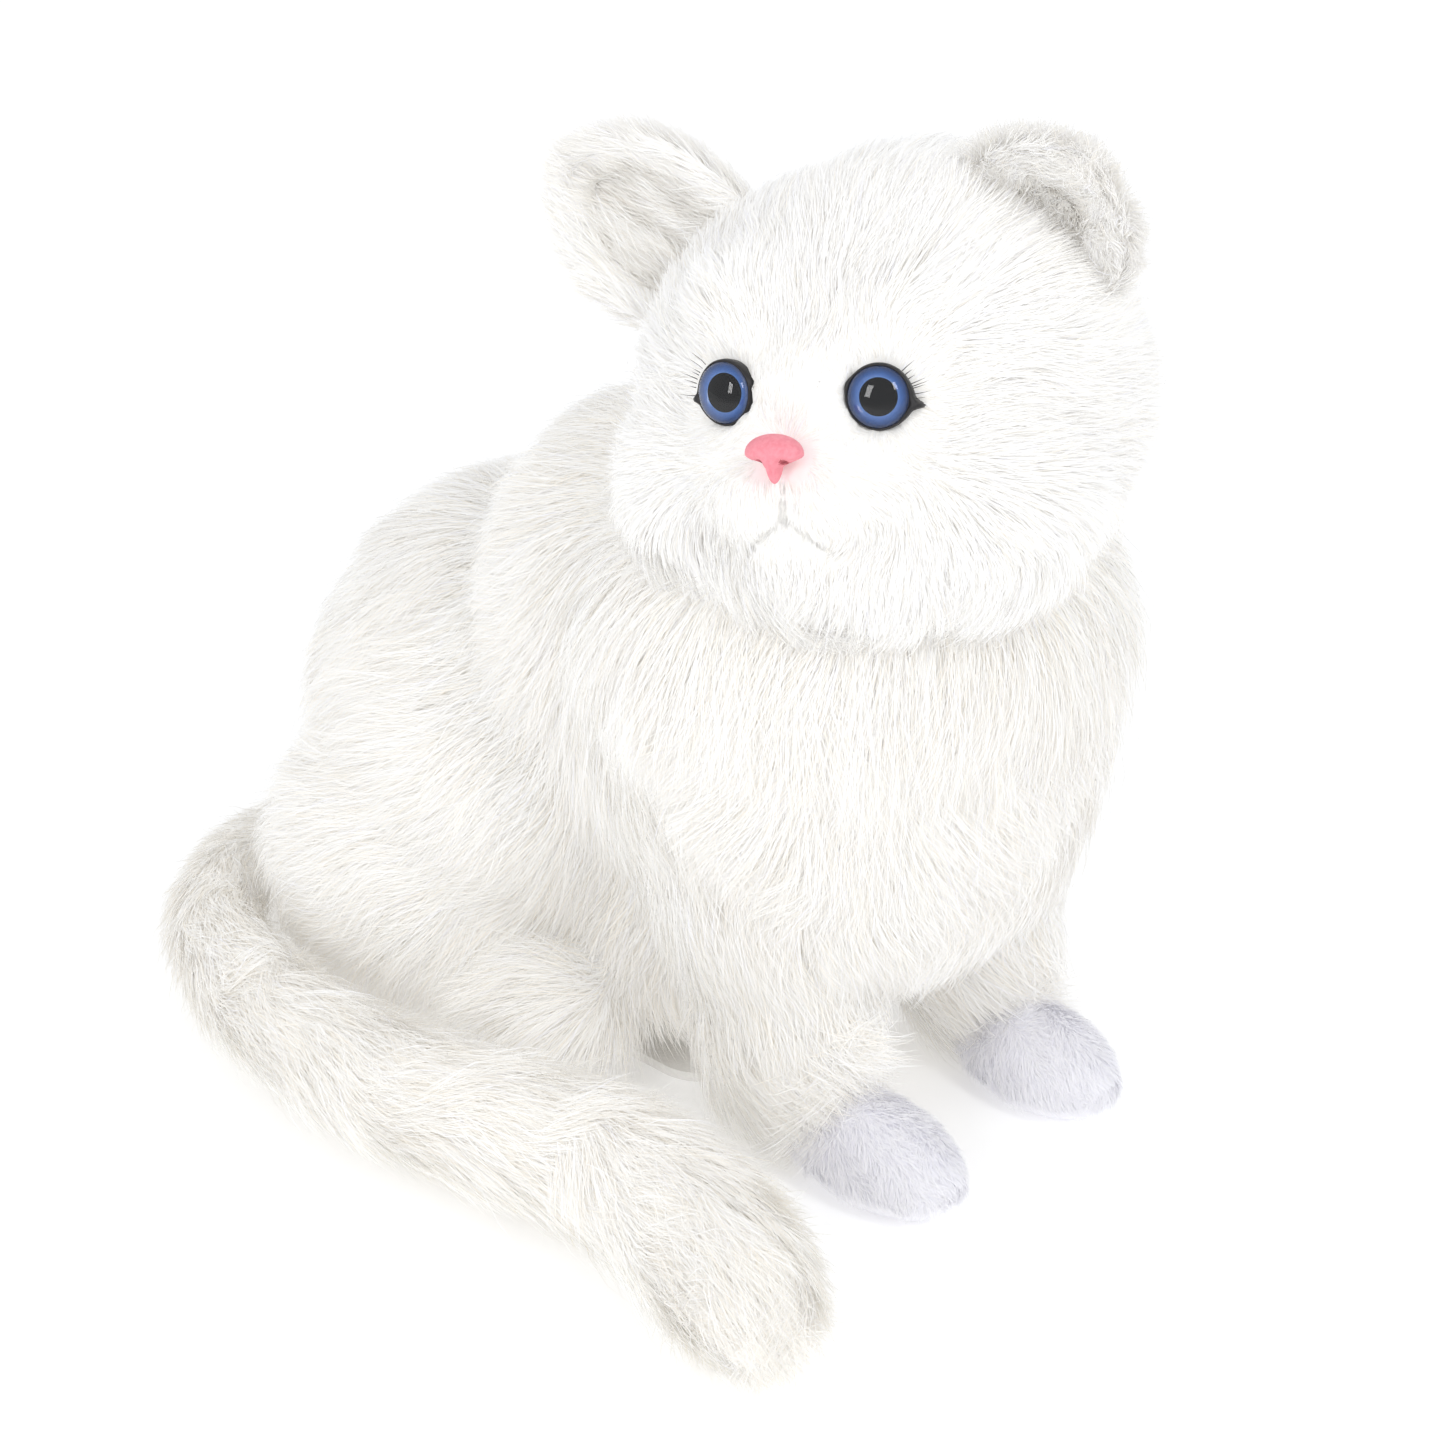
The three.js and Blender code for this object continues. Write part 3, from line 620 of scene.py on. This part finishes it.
HEAD = [
    ((0, 3, 1), (55, 51, 48)),
    ((10, 0, 14), (42, 42, 39)),
    ((26, -18, -17), (26, 29, 25)), ((-26, -18, -17), (26, 29, 25)),
    ((16, -29, 19), (18, 16, 14)), ((-16, -29, 19), (18, 16, 14)),
    ((0, -40, 2), (15, 14, 17)),
    ((0, -37, -14), (31, 21, 18)),
    ((8, -49.3, -17), (12.5, 12, 9.5)), ((-8, -49.3, -17), (12.5, 12, 9.5)),
    ((0, -43, -27), (18, 14, 12)),
    ((0, -27, -29), (33, 25, 18)),
]
EYE = {"spread": 18, "y": -46.5, "z": 5, "aim": math.radians(13), "radius": 7.0}
NOSE = (0, -62.7, -6.3)


def eye_axes(side):
    """An eye's own axes in the frame: +Z looks out and +X points to its outer corner."""
    aim = EYE["aim"]
    out = np.array([math.sin(aim) * side, -math.cos(aim), 0])
    outer = np.array([math.cos(aim) * side, math.sin(aim), 0])
    return HEAD_AXES @ np.stack([outer, UP, out], axis=1)


def eye_place(side):
    """An eye's centre in mm in the head's own axes."""
    return np.array([side * EYE["spread"], EYE["y"], EYE["z"]])


def head_oval(oval):
    centre, radii = oval
    return in_head(*centre), np.array(radii) * MM, HEAD_AXES


def dent(points, centre, radii, by):
    """How deep a soft dent is at each point, all in mm."""
    away = ((points - np.array(centre)) / np.array(radii)) ** 2
    return by * np.exp(-away.sum(axis=1))


def mouth_gap(place):
    """How far each point is from the mouth line, in mm: a drop from the nose, then a slope each side."""
    aside = np.abs(place[:, 0])
    fork = -20.5
    slope = np.abs(place[:, 2] - fork + 0.75 * aside) + 40 * smoothstep(11, 15, aside)
    drop = np.where(place[:, 2] > fork, aside + 40 * smoothstep(-13, -11, place[:, 2]), 99)
    return np.minimum(drop, slope)


def make_head_skin():
    obj = skin_from("head_cover", [head_oval(oval) for oval in HEAD], BACKING, voxel=2.0, rounds=22)
    points = corners_of(obj)
    place = to_head(points)
    front = smoothstep(-30, -45, place[:, 1])
    push = np.zeros(len(place))
    for side in SIDES.values():
        push -= dent(place, eye_place(side), (14, 16, 12), 1.6)
    push += front * 1.8 * np.exp(-(mouth_gap(place) / 1.6) ** 2)
    place[:, 1] += push
    points = SKULL + (place * MM) @ HEAD_AXES.T
    for side in SIDES.values():
        axes = eye_axes(side)
        seen = (points - in_head(*eye_place(side))) @ axes / MM
        under = np.linalg.norm(seen[:, :2], axis=1) < EYE["radius"] + 0.4
        points -= np.outer(np.where(under, np.maximum(seen[:, 2] + 1.2, 0), 0), axes[:, 2]) * MM
    move_corners(obj, points)
    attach(obj, "head")
    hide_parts("head_plush")
    return obj


head_skin = make_head_skin()


def head_comb(place):
    """Hair runs outwards from the nose and parts round the eyes. Places are in mm in the head's axes."""
    nose = np.array([0, -58, -4.0])
    comb = unit(place - nose) + np.array([0, 0.45, 0])
    comb[:, 2] -= 1.1 * smoothstep(-8, -30, place[:, 2])
    chin = smoothstep(-20, -27, place[:, 2]) * smoothstep(0, -30, place[:, 1])
    comb = comb * (1 - chin[:, None]) + np.array([0, -0.2, -1.0]) * chin[:, None]
    for side in SIDES.values():
        away = place - eye_place(side)
        near = np.exp(-(np.linalg.norm(away, axis=1) / 13) ** 4)
        comb += 2.4 * near[:, None] * unit(away)
    return comb


def head_length(place):
    """Hair length in mm: short on the muzzle and round the eyes, long on the cheeks and crown."""
    from_nose = np.linalg.norm(place - np.array(NOSE), axis=1)
    length = 5.0 + 15 * smoothstep(14, 66, from_nose)
    length += 6 * smoothstep(-28, -40, place[:, 2]) * smoothstep(20, -15, place[:, 1])
    for side in SIDES.values():
        away = np.linalg.norm(place - eye_place(side), axis=1)
        length *= 0.45 + 0.55 * smoothstep(9, 22, away)
    front = smoothstep(-30, -45, place[:, 1])
    return length * (1 - 0.6 * front * np.exp(-(mouth_gap(place) / 3.0) ** 2))


def make_head_fur(density):
    rng = np.random.default_rng(12)
    kept_share = 0.6

    def keep(points, normals):
        place = to_head(points)
        chance = np.full(len(points), 0.75)
        chance += 0.25 * smoothstep(-20, -40, place[:, 1])
        for side in SIDES.values():
            away = np.linalg.norm(place - eye_place(side), axis=1)
            chance[away < EYE["radius"] + 0.3] = 0
        on_nose = (np.abs(place[:, 0]) < 6) & (np.abs(place[:, 2] + 7) < 5) & (place[:, 1] < -55)
        chance[on_nose] = 0
        chance[normals[:, 2] < -0.9] *= 0.4
        return chance

    count = int(area_of(head_skin) * density / kept_share)
    roots, normals = sample_skin(head_skin, count, rng, keep)
    place = to_head(roots)
    comb = (head_comb(place) + 0.15 * swirl(roots, 45, 5) + 0.1 * swirl(roots, 18, 6)) @ HEAD_AXES.T
    length = head_length(place)
    lift = np.radians(34 - 10 * smoothstep(9, 4, length))
    path = hair_paths(roots, normals, comb, length * MM, lift, 3, rng, seed=31, tuft=0.25,
                      tuft_size=8, bend=90)
    width = np.interp(length, [3, 16], [0.16, 0.26]) * rng.uniform(0.8, 1.2, len(roots)) * MM
    tone = tones(len(roots), rng, (7, 3, 0.4, 0.5))
    # Hairs on the mouth line take the darker shade tone: painted shade in the mouth crease.
    tone[(mouth_gap(place) < 0.8) & (place[:, 1] < -40)] = SHADE
    rear = place[:, 1] > 0
    for name, mine in (("fur_face", ~rear), ("fur_head_back", rear)):
        ribbons(name, path[mine], normals[mine], width[mine], HAIR, tone[mine], rng, "head")


# ---- ears ----------------------------------------------------------------------------------------

# Angles are in degrees and lengths in mm. bare is the share of the hollow's half width, from its
# middle, that has no outer hair. hollow is how far the lining stays inside the ear's edge, and cup
# is how deep the ear curls.
EARS = {
    "left": {"place": (44, -11, 42), "tip": 52, "lean": 34, "facing": -20,
             "bare": 0.0, "hollow": 11, "cup": 2},
    "right": {"place": (-59, 2, 39), "tip": -50, "lean": 12, "facing": 10,
              "bare": 0.15, "hollow": 7, "cup": 8},
}
EAR_HALF_WIDTH = 20
EAR_HALF_HEIGHT = 23


def ear_axes(pose):
    """The ear's own axes in the head's: its tip is +Z and its hollow faces -Y."""
    turn = [Matrix.Rotation(math.radians(pose[key]), 3, axis)
            for key, axis in (("facing", "Z"), ("lean", "X"), ("tip", "Y"))]
    return HEAD_AXES @ np.array(turn[0] @ turn[1] @ turn[2])


def leaf(rows, columns, half_width, half_height, cup, thick, back):
    """The points and faces of a pointed cupped leaf with real thickness, in mm."""
    widest = 0.42
    points = []
    for layer in (0, 1):
        for row in range(rows + 1):
            t = row / rows
            z = -half_height + 2 * half_height * t
            outwards = (t - widest) / 0.58 if t > widest else (widest - t) / 0.7
            half = half_width * max(1 - outwards * outwards, 0) ** 0.6
            for column in range(columns + 1):
                s = 2 * column / columns - 1
                y = back - cup * s * s * math.cos(t * 1.2) - 3.0 * t * t
                wall = thick * (1 - s * s) ** 0.5 * (1 - t ** 3) ** 0.5 + 0.3
                points.append((half * s, y + (0 if layer == 0 else wall), z))
    faces = []
    width = columns + 1
    size = (rows + 1) * width
    for row in range(rows):
        for column in range(columns):
            a = row * width + column
            faces.append((a, a + 1, a + width + 1, a + width))
            faces.append((size + a, size + a + width, size + a + width + 1, size + a + 1))
    rim = [row * width for row in range(rows + 1)]
    rim += [rows * width + column for column in range(1, width)]
    rim += [row * width + columns for row in range(rows - 1, -1, -1)]
    rim += [column for column in range(columns - 1, 0, -1)]
    for a, b in zip(rim, rim[1:] + rim[:1]):
        faces.append((a, a + size, b + size, b)[::-1])
    return np.array(points), faces


def make_ear(name, pose):
    axes = ear_axes(pose)
    centre = in_head(*pose["place"])
    points, faces = leaf(18, 20, EAR_HALF_WIDTH, EAR_HALF_HEIGHT, pose["cup"], 4.2, 2.0)
    ear = mesh_object("ear_cover_" + name, centre + (points * MM) @ axes.T, faces, BACKING)
    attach(ear, "head")
    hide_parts("ear_" + name)

    hollow = pose["hollow"]
    inner, inner_faces = leaf(14, 16, EAR_HALF_WIDTH - hollow, EAR_HALF_HEIGHT - hollow,
                              pose["cup"] * 0.6, 0.6, 0.8)
    lining = mesh_object("ear_lining_cover_" + name, centre + (inner * MM) @ axes.T, inner_faces, LINING)
    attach(lining, "head")
    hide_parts("ear_lining_" + name)

    rng = np.random.default_rng(40 + len(name))
    roots, normals = sample_skin(ear, 26000, rng)
    place = (roots - centre) @ axes / MM
    height = np.clip(place[:, 2], 0, EAR_HALF_HEIGHT) / EAR_HALF_HEIGHT
    edge = np.abs(place[:, 0]) / (EAR_HALF_WIDTH * np.sqrt(np.clip(1 - height ** 2, 0.05, 1)))
    inside = (normals @ axes)[:, 1] < -0.2
    kept = ~(inside & (edge < pose["bare"]) & (place[:, 2] < EAR_HALF_HEIGHT - 8))
    roots, normals, place, inside = (part[kept] for part in (roots, normals, place, inside))
    comb = np.tile([0.0, 0.0, 1.0], (len(roots), 1))
    comb[:, 0] = place[:, 0] / EAR_HALF_WIDTH * 0.8
    comb[inside, 0] *= -0.6
    comb = comb @ axes.T + 0.2 * swirl(roots, 30, 9)
    length = np.where(inside, 12.0, 13.0) * rng.uniform(0.8, 1.2, len(roots)) * MM
    lift = np.full(len(roots), math.radians(36))
    path = hair_paths(roots, normals, comb, length, lift, 3, rng, seed=41, tuft=0.2, tuft_size=6)
    width = rng.uniform(0.15, 0.25, len(roots)) * MM
    tone = tones(len(roots), rng, (7, 3, 0.4, 0.5))
    ribbons("fur_ear_" + name, path, normals, width, HAIR, tone, rng, "head", soften=0.4)

    roots, normals = sample_skin(lining, 4500, rng)
    front = (normals @ axes)[:, 1] < 0
    roots, normals = roots[front], normals[front]
    comb = np.tile(axes[:, 2], (len(roots), 1))
    length = np.full(len(roots), 7.0 * MM)
    lift = np.full(len(roots), 0.5)
    path = hair_paths(roots, normals, comb, length, lift, 3, rng, seed=42, tuft=0.1, tuft_size=4)
    width = np.full(len(roots), 0.24 * MM)
    tone = tones(len(roots), rng, (1, 1))
    obj = ribbons("fur_lining_" + name, path, normals, width, LINING_HAIR, tone, rng, "head")


# ---- tail ----------------------------------------------------------------------------------------

TAIL_SPINE = [(0, 0), (-26, 12), (-52, 11), (-77, -4), (-95, -34), (-103, -74), (-101, -114),
              (-93, -152), (-97, -192), (-114, -236)]


def tail_curve(steps=60):
    """Points down the middle of the tail in metres, with the radius at each in mm."""
    knots = np.array([(TAIL_ROOT[0] / MM + x, TAIL_ROOT[1] / MM + y, 16 + 0.85 * i)
                      for i, (x, y) in enumerate(TAIL_SPINE)])
    at = np.linspace(0, len(knots) - 1, steps)
    points = np.empty((steps, 3))
    for i, t in enumerate(at):
        k = min(int(t), len(knots) - 2)
        u = t - k
        a, b, c, d = (knots[min(max(k + j, 0), len(knots) - 1)] for j in (-1, 0, 1, 2))
        points[i] = 0.5 * (2 * b + (c - a) * u + (2 * a - 5 * b + 4 * c - d) * u * u
                           + (3 * b - a - 3 * c + d) * u ** 3)
    along = np.linspace(0, 1, steps)
    radius = 12 + 10.5 * along
    radius *= np.sqrt(np.clip(1 - ((along - 0.9) / 0.105) ** 2, 0.02, 1)) ** (along > 0.9)
    return points * MM, radius


def make_tail(density):
    spine, radius = tail_curve()
    skin_radius = np.maximum(radius - 6.0, 2.0)
    ovals = [(point, np.full(3, r) * MM, np.eye(3)) for point, r in zip(spine[:-3], skin_radius[:-3])]
    obj = skin_from("tail_cover", ovals, BACKING, voxel=2.2, rounds=8)
    points = corners_of(obj)
    keep_above(points, 0.0025)
    move_corners(obj, points)
    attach(obj, "tail")
    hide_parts("tail_plush")

    rng = np.random.default_rng(13)
    roots, normals = sample_skin(obj, int(area_of(obj) * density), rng)
    nearest = np.array([np.argmin(((spine - root) ** 2).sum(axis=1)) for root in roots])
    tangent = unit(np.gradient(spine, axis=0))
    comb = tangent[nearest] + 0.2 * swirl(roots, 35, 8)
    along = nearest / (len(spine) - 1)
    length = (17 + 9 * along) * rng.uniform(0.85, 1.1, len(roots)) * MM
    lift = np.full(len(roots), math.radians(24))
    path = hair_paths(roots, normals, comb, length, lift, 3, rng, seed=51, tuft=0.22, tuft_size=9, bend=160)
    width = rng.uniform(0.17, 0.28, len(roots)) * MM
    tone = tones(len(roots), rng, (4, 4, 1.8, 0.2))
    half = along < 0.5
    for name, mine in (("fur_tail_root", half), ("fur_tail_tip", ~half)):
        ribbons(name, path[mine], normals[mine], width[mine], HAIR, tone[mine], rng, "tail", soften=0.5)


# ---- paws ----------------------------------------------------------------------------------------

def make_paw(name):
    low, high = (np.array(corner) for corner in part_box("front_paw_" + name))
    centre, radii = (low + high) / 2, (high - low) / 2 - 1.2 * MM
    radii = radii * [0.88, 1.0, 1.0] + [0, 0, 2 * MM]
    centre[2] -= 3.5 * MM
    obj = skin_from("paw_" + name, [(centre, radii, np.eye(3))], FELT, voxel=1.6, rounds=12)
    points = corners_of(obj)
    keep_above(points, 0.0006)
    move_corners(obj, points)
    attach(obj, "body")
    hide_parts("front_paw_" + name)
    rng = np.random.default_rng(60 + len(name))
    roots, normals = sample_skin(obj, 30000, rng)
    kept = (normals[:, 2] > -0.3) & (roots[:, 2] > 0.001)
    roots, normals = roots[kept], normals[kept]
    comb = np.tile([0.0, -0.6, -0.5], (len(roots), 1)) + 0.3 * swirl(roots, 14, 14)
    length = rng.uniform(3.5, 5.5, len(roots)) * MM
    lift = np.full(len(roots), 0.75)
    path = hair_paths(roots, normals, comb, length, lift, 2, rng, seed=61, tuft=0.1, tuft_size=3)
    width = np.full(len(roots), 0.2 * MM)
    tone = tones(len(roots), rng, (3, 2))
    fuzz = ribbons("felt_pile_" + name, path, normals, width, FELT_HAIR, tone, rng, "body")


# ---- eyes and nose -------------------------------------------------------------------------------

EYE_STEPS = 64


def revolved(name, rings, centre, axes, material, around=48, spread=lambda angle: 1.0):
    """A surface turned round an axis: rings are (radius, height) in mm.

    An end ring that is nearly a point is closed. spread widens the rings by angle, most at the last.
    """
    points, faces = [], []
    for i, (radius, height) in enumerate(rings):
        for k in range(around):
            angle = 2 * math.pi * k / around
            reach = spread(angle)
            if i < len(rings) - 1:
                reach = 1 + (reach - 1) * i / len(rings)
            points.append((radius * reach * math.cos(angle), radius * reach * math.sin(angle), height))
    for i in range(len(rings) - 1):
        for k in range(around):
            a, b = i * around + k, i * around + (k + 1) % around
            faces.append((a, a + around, b + around, b))
    if rings[0][0] < 0.3:
        faces.append(tuple(range(around)))
    if rings[-1][0] < 0.3:
        faces.append(tuple(range(len(points) - 1, len(points) - 1 - around, -1)))
    placed = centre + (np.array(points) * MM) @ axes.T
    obj = mesh_object(name, placed, faces, material)
    if np.linalg.det(axes) < 0:
        obj.data.flip_normals()
    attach(obj, "head")
    return obj


def iris_material():
    """Blue glass-eye paint: a dark outer ring, lighter fibres towards the pupil."""
    material = new_material("iris_blue", (0.10, 0.23, 0.55), 0.35, Coat_Weight=0.6)
    nodes, links, _ = nodes_of(material)
    ring = nodes.new("ShaderNodeAttribute")
    ring.attribute_name = "ring"
    fibre = add_noise(material, 2200, detail=2)
    blend = nodes.new("ShaderNodeMath")
    blend.operation = "MULTIPLY_ADD"
    blend.inputs[1].default_value = 0.16
    links.new(fibre.outputs["Fac"], blend.inputs[0])
    links.new(ring.outputs["Fac"], blend.inputs[2])
    ramp = color_by(material, blend.outputs["Value"], (0.16, 0.38, 0.85), (0.01, 0.03, 0.10), 0.45, 1.02)
    middle_stop = ramp.color_ramp.elements.new(0.70)
    middle_stop.color = (0.05, 0.17, 0.55, 1)
    return material


IRIS = iris_material()
PUPIL = grained("pupil_black", (0.001, 0.001, 0.002), (0.002, 0.002, 0.003), 0.5, 60, 0.0,
                Specular_IOR_Level=0.0)
LID = grained("lid_black", (0.006, 0.005, 0.006), (0.014, 0.012, 0.013), 0.45, 700, 0.3)
LENS = grained("lens_clear", (0.99, 0.99, 1.0), (1, 1, 1), 0.01, 300, 0.0,
               Transmission_Weight=1.0, IOR=1.5)


def corner(angle):
    """How far the lid reaches at an angle: a point at the outer corner, a shorter one at the inner."""
    outer = abs((angle + 0.22 + math.pi) % (2 * math.pi) - math.pi)
    inner = abs((angle - math.pi + 0.35 + math.pi) % (2 * math.pi) - math.pi)
    pointed = 0.38 * math.exp(-(outer / 0.11) ** 2) + 0.12 * math.exp(-(outer / 0.45) ** 2)
    return 1 + pointed + 0.12 * math.exp(-(inner / 0.25) ** 2)


def make_eye(name, side):
    axes = eye_axes(side)
    centre = in_head(*eye_place(side))
    r = EYE["radius"]
    dome = [((r - 0.2) * math.sin(a), 1.2 + 3.6 * math.cos(a)) for a in np.linspace(0.02, math.pi / 2, 14)]
    back = [(r - 0.3, -0.6), (r / 2, -0.6), (0.05, -0.6)]
    lens = revolved("eye_lens_cover_" + name, dome + back, centre, axes, LENS, around=EYE_STEPS)
    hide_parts("eye_lens_" + name)

    bowl = [(2.6 + (r - 2.95) * t, 0.2 + 0.9 * t * t) for t in np.linspace(0, 1, 9)]
    iris = revolved("eye_iris_cover_" + name, bowl, centre, axes, IRIS, around=EYE_STEPS)
    ring = iris.data.attributes.new("ring", "FLOAT", "POINT")
    ring.data.foreach_set("value", np.repeat(np.linspace(0.35, 1, len(bowl)), EYE_STEPS))
    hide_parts("eye_iris_" + name)

    spot = [(3.7 * math.sin(a), 0.25 + 0.6 * math.cos(a)) for a in np.linspace(0.02, math.pi / 2, 8)]
    pupil = revolved("eye_pupil_cover_" + name, spot, centre, axes, PUPIL)
    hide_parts("eye_pupil_" + name)

    rim = [(r - 0.6, 0.9), (r - 0.3, 1.6), (r, 1.8), (r + 0.3, 1.3), (r + 0.35, 0.2), (r - 0.2, -3.0)]
    lid = revolved("eye_lid_" + name, rim, centre, axes, LID, around=96, spread=corner)
    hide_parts("eye_rim_" + name)
    make_lashes(name, centre, axes)


def make_lashes(name, centre, axes):
    """A few short black lashes along the upper outer lid."""
    rng = np.random.default_rng(70 + len(name))
    count = 8
    angle = np.linspace(-0.05, 0.8, count) + rng.normal(scale=0.07, size=count)
    r = EYE["radius"] + 0.7
    out = np.stack([np.cos(angle), np.sin(angle), np.zeros(count)], axis=1)
    roots = out * r + np.array([0, 0, 1.6])
    length = rng.uniform(1.2, 3.0, count)[:, None]
    steps = np.linspace(0, 1, 4)
    bend = np.array([0.5, 0.25, 0.55])
    path = np.stack([roots + out * length * t + bend * length * t * t for t in steps], axis=1)
    path = centre + (path * MM) @ axes.T
    normals = np.tile(axes[:, 2], (count, 1))
    width = np.full(count, 0.22 * MM)
    lashes = ribbons("lashes_" + name, path, normals, width, [LID], np.zeros(count, int), rng, "head")


def make_nose():
    """A soft rounded triangle with two nostrils and a ridge running down to the mouth."""
    rose = grained("nose_rose", (0.80, 0.23, 0.28), (0.86, 0.30, 0.35), 0.55, 900, 0.25)
    ball, faces = ball_points(5)
    shape = ball.copy()
    low = smoothstep(-0.05, -0.5, ball[:, 2])
    shape[:, 0] *= 6.7 * (1 - 0.74 * low)
    shape[:, 1] *= 4.6 - 1.2 * low
    shape[:, 2] *= np.where(ball[:, 2] > 0, 4.2, 6.6)
    front = smoothstep(0.1, -0.4, ball[:, 1])
    hole = np.zeros(len(shape))
    for side in SIDES.values():
        hole += dent(shape * [1, 0, 1], (2.8 * side, 0, -1.7), (1.1, 1, 0.8), 2.6)
    hole += dent(shape * [1, 0, 1], (0, 0, -4.4), (0.5, 1, 2.4), 0.8)
    shape[:, 1] += front * hole
    points = SKULL + ((shape + np.array(NOSE) + np.array([0, 1.0, 0])) * MM) @ HEAD_AXES.T
    obj = mesh_object("nose_pad", points, faces, rose)
    obj.data.materials.append(grained("nostril", (0.42, 0.07, 0.09), (0.50, 0.10, 0.12), 0.6, 900, 0.2))
    # Faces deep in the nostril dents take the darker red: painted shade in the nostril holes.
    depth = (front * hole)[np.array(faces)].mean(axis=1)
    obj.data.polygons.foreach_set("material_index", (depth > 1.3).astype(np.int32))
    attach(obj, "head")
    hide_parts("nose")


# ---- the parts inside ----------------------------------------------------------------------------

def dress(material, *nodes):
    """Gives CAD nodes their finish."""
    for node in nodes:
        mesh = frame["nodes"][node].data
        mesh.materials.clear()
        mesh.materials.append(material)


def dress_frame():
    casing = grained("casing_plastic", (0.62, 0.62, 0.60), (0.72, 0.72, 0.70), 0.42, 500, 0.15)
    black = grained("black_plastic", (0.02, 0.02, 0.022), (0.04, 0.04, 0.043), 0.5, 700, 0.2)
    gear = grained("gear_nylon", (0.78, 0.77, 0.72), (0.86, 0.85, 0.80), 0.38, 400, 0.1)
    steel = grained("brushed_steel", (0.50, 0.50, 0.51), (0.68, 0.68, 0.69), 0.3, 60, 0.1,
                    stretch=(1, 1, 30), metallic=1.0)
    board = grained("board_green", (0.02, 0.16, 0.07), (0.04, 0.24, 0.11), 0.4, 260, 0.2)
    cell = grained("cell_sleeve", (0.10, 0.20, 0.42), (0.14, 0.27, 0.52), 0.3, 80, 0.05, stretch=(1, 8, 1))
    cover = grained("underside_cloth", (0.86, 0.85, 0.83), (0.92, 0.91, 0.89), 0.9, 900, 0.4)
    dress(cover, "base_plate")
    dress(casing, "battery_box", "battery_door", "housing_left", "housing_right", "neck_deck",
          "neck_bearing", "neck_shaft", "skull_front", "skull_rear", "tail_bracket", "tail_core",
          "back_button", "head_button")
    dress(gear, "neck_gear", "head_pinion", "tail_gear", "tail_pinion")
    dress(steel, "battery_spring_1", "battery_spring_2", "battery_spring_3", "housing_screw_1",
          "housing_screw_2", "door_screw", "tail_post", "head_motor", "tail_motor", "purr_motor",
          "purr_weight", "back_button_spring", "head_button_spring")
    dress(board, "main_pcb")
    dress(black, "speaker", "switch_body", "power_switch")
    dress(cell, "battery_1", "battery_2", "battery_3")


# ---- floor and light -----------------------------------------------------------------------------

def make_floor():
    paper = grained("floor_paper", (0.93, 0.93, 0.93), (0.94, 0.94, 0.94), 0.8, 40, 0.02,
                    Emission_Color=(1, 1, 1, 1), Emission_Strength=0.18)
    floor = mesh_object("floor", [(-3, -3, 0), (3, -3, 0), (3, 3, 0), (-3, 3, 0)], [(0, 1, 2, 3)], paper)
    floor.location.z = -0.0003


def make_light(name, place, aim, size, power):
    data = bpy.data.lights.new(name, "AREA")
    data.shape = "RECTANGLE"
    data.size, data.size_y = size
    data.energy = power
    lamp = bpy.data.objects.new(name, data)
    lamp.location = place
    lamp.rotation_euler = (Vector(aim) - Vector(place)).to_track_quat("-Z", "Y").to_euler()
    bpy.context.collection.objects.link(lamp)


def make_studio():
    world = bpy.data.worlds.new("studio")
    world.use_nodes = True
    world.node_tree.nodes["Background"].inputs["Color"].default_value = (0.96, 0.975, 1.0, 1)
    world.node_tree.nodes["Background"].inputs["Strength"].default_value = 0.90
    bpy.context.scene.world = world
    make_light("key", (-0.25, -1.15, 1.15), (0, 0, 0.12), (0.35, 0.5), 4.5)
    make_light("window", (-1.08, -0.18, 0.66), (-0.06, -0.1, 0.18), (0.22, 0.50), 2.4)
    bpy.context.scene.view_settings.view_transform = "Standard"
    bpy.context.scene.cycles.diffuse_bounces = 8


hairs_per_mm2 = HAIRS_PER_MM2
make_body_fur(hairs_per_mm2["body"])
make_head_fur(hairs_per_mm2["head"])
for side_name, ear_pose in EARS.items():
    make_ear(side_name, ear_pose)
make_tail(hairs_per_mm2["tail"])
for side_name, side_sign in SIDES.items():
    make_paw(side_name)
    make_eye(side_name, side_sign)
make_nose()
dress_frame()
make_floor()
make_studio()
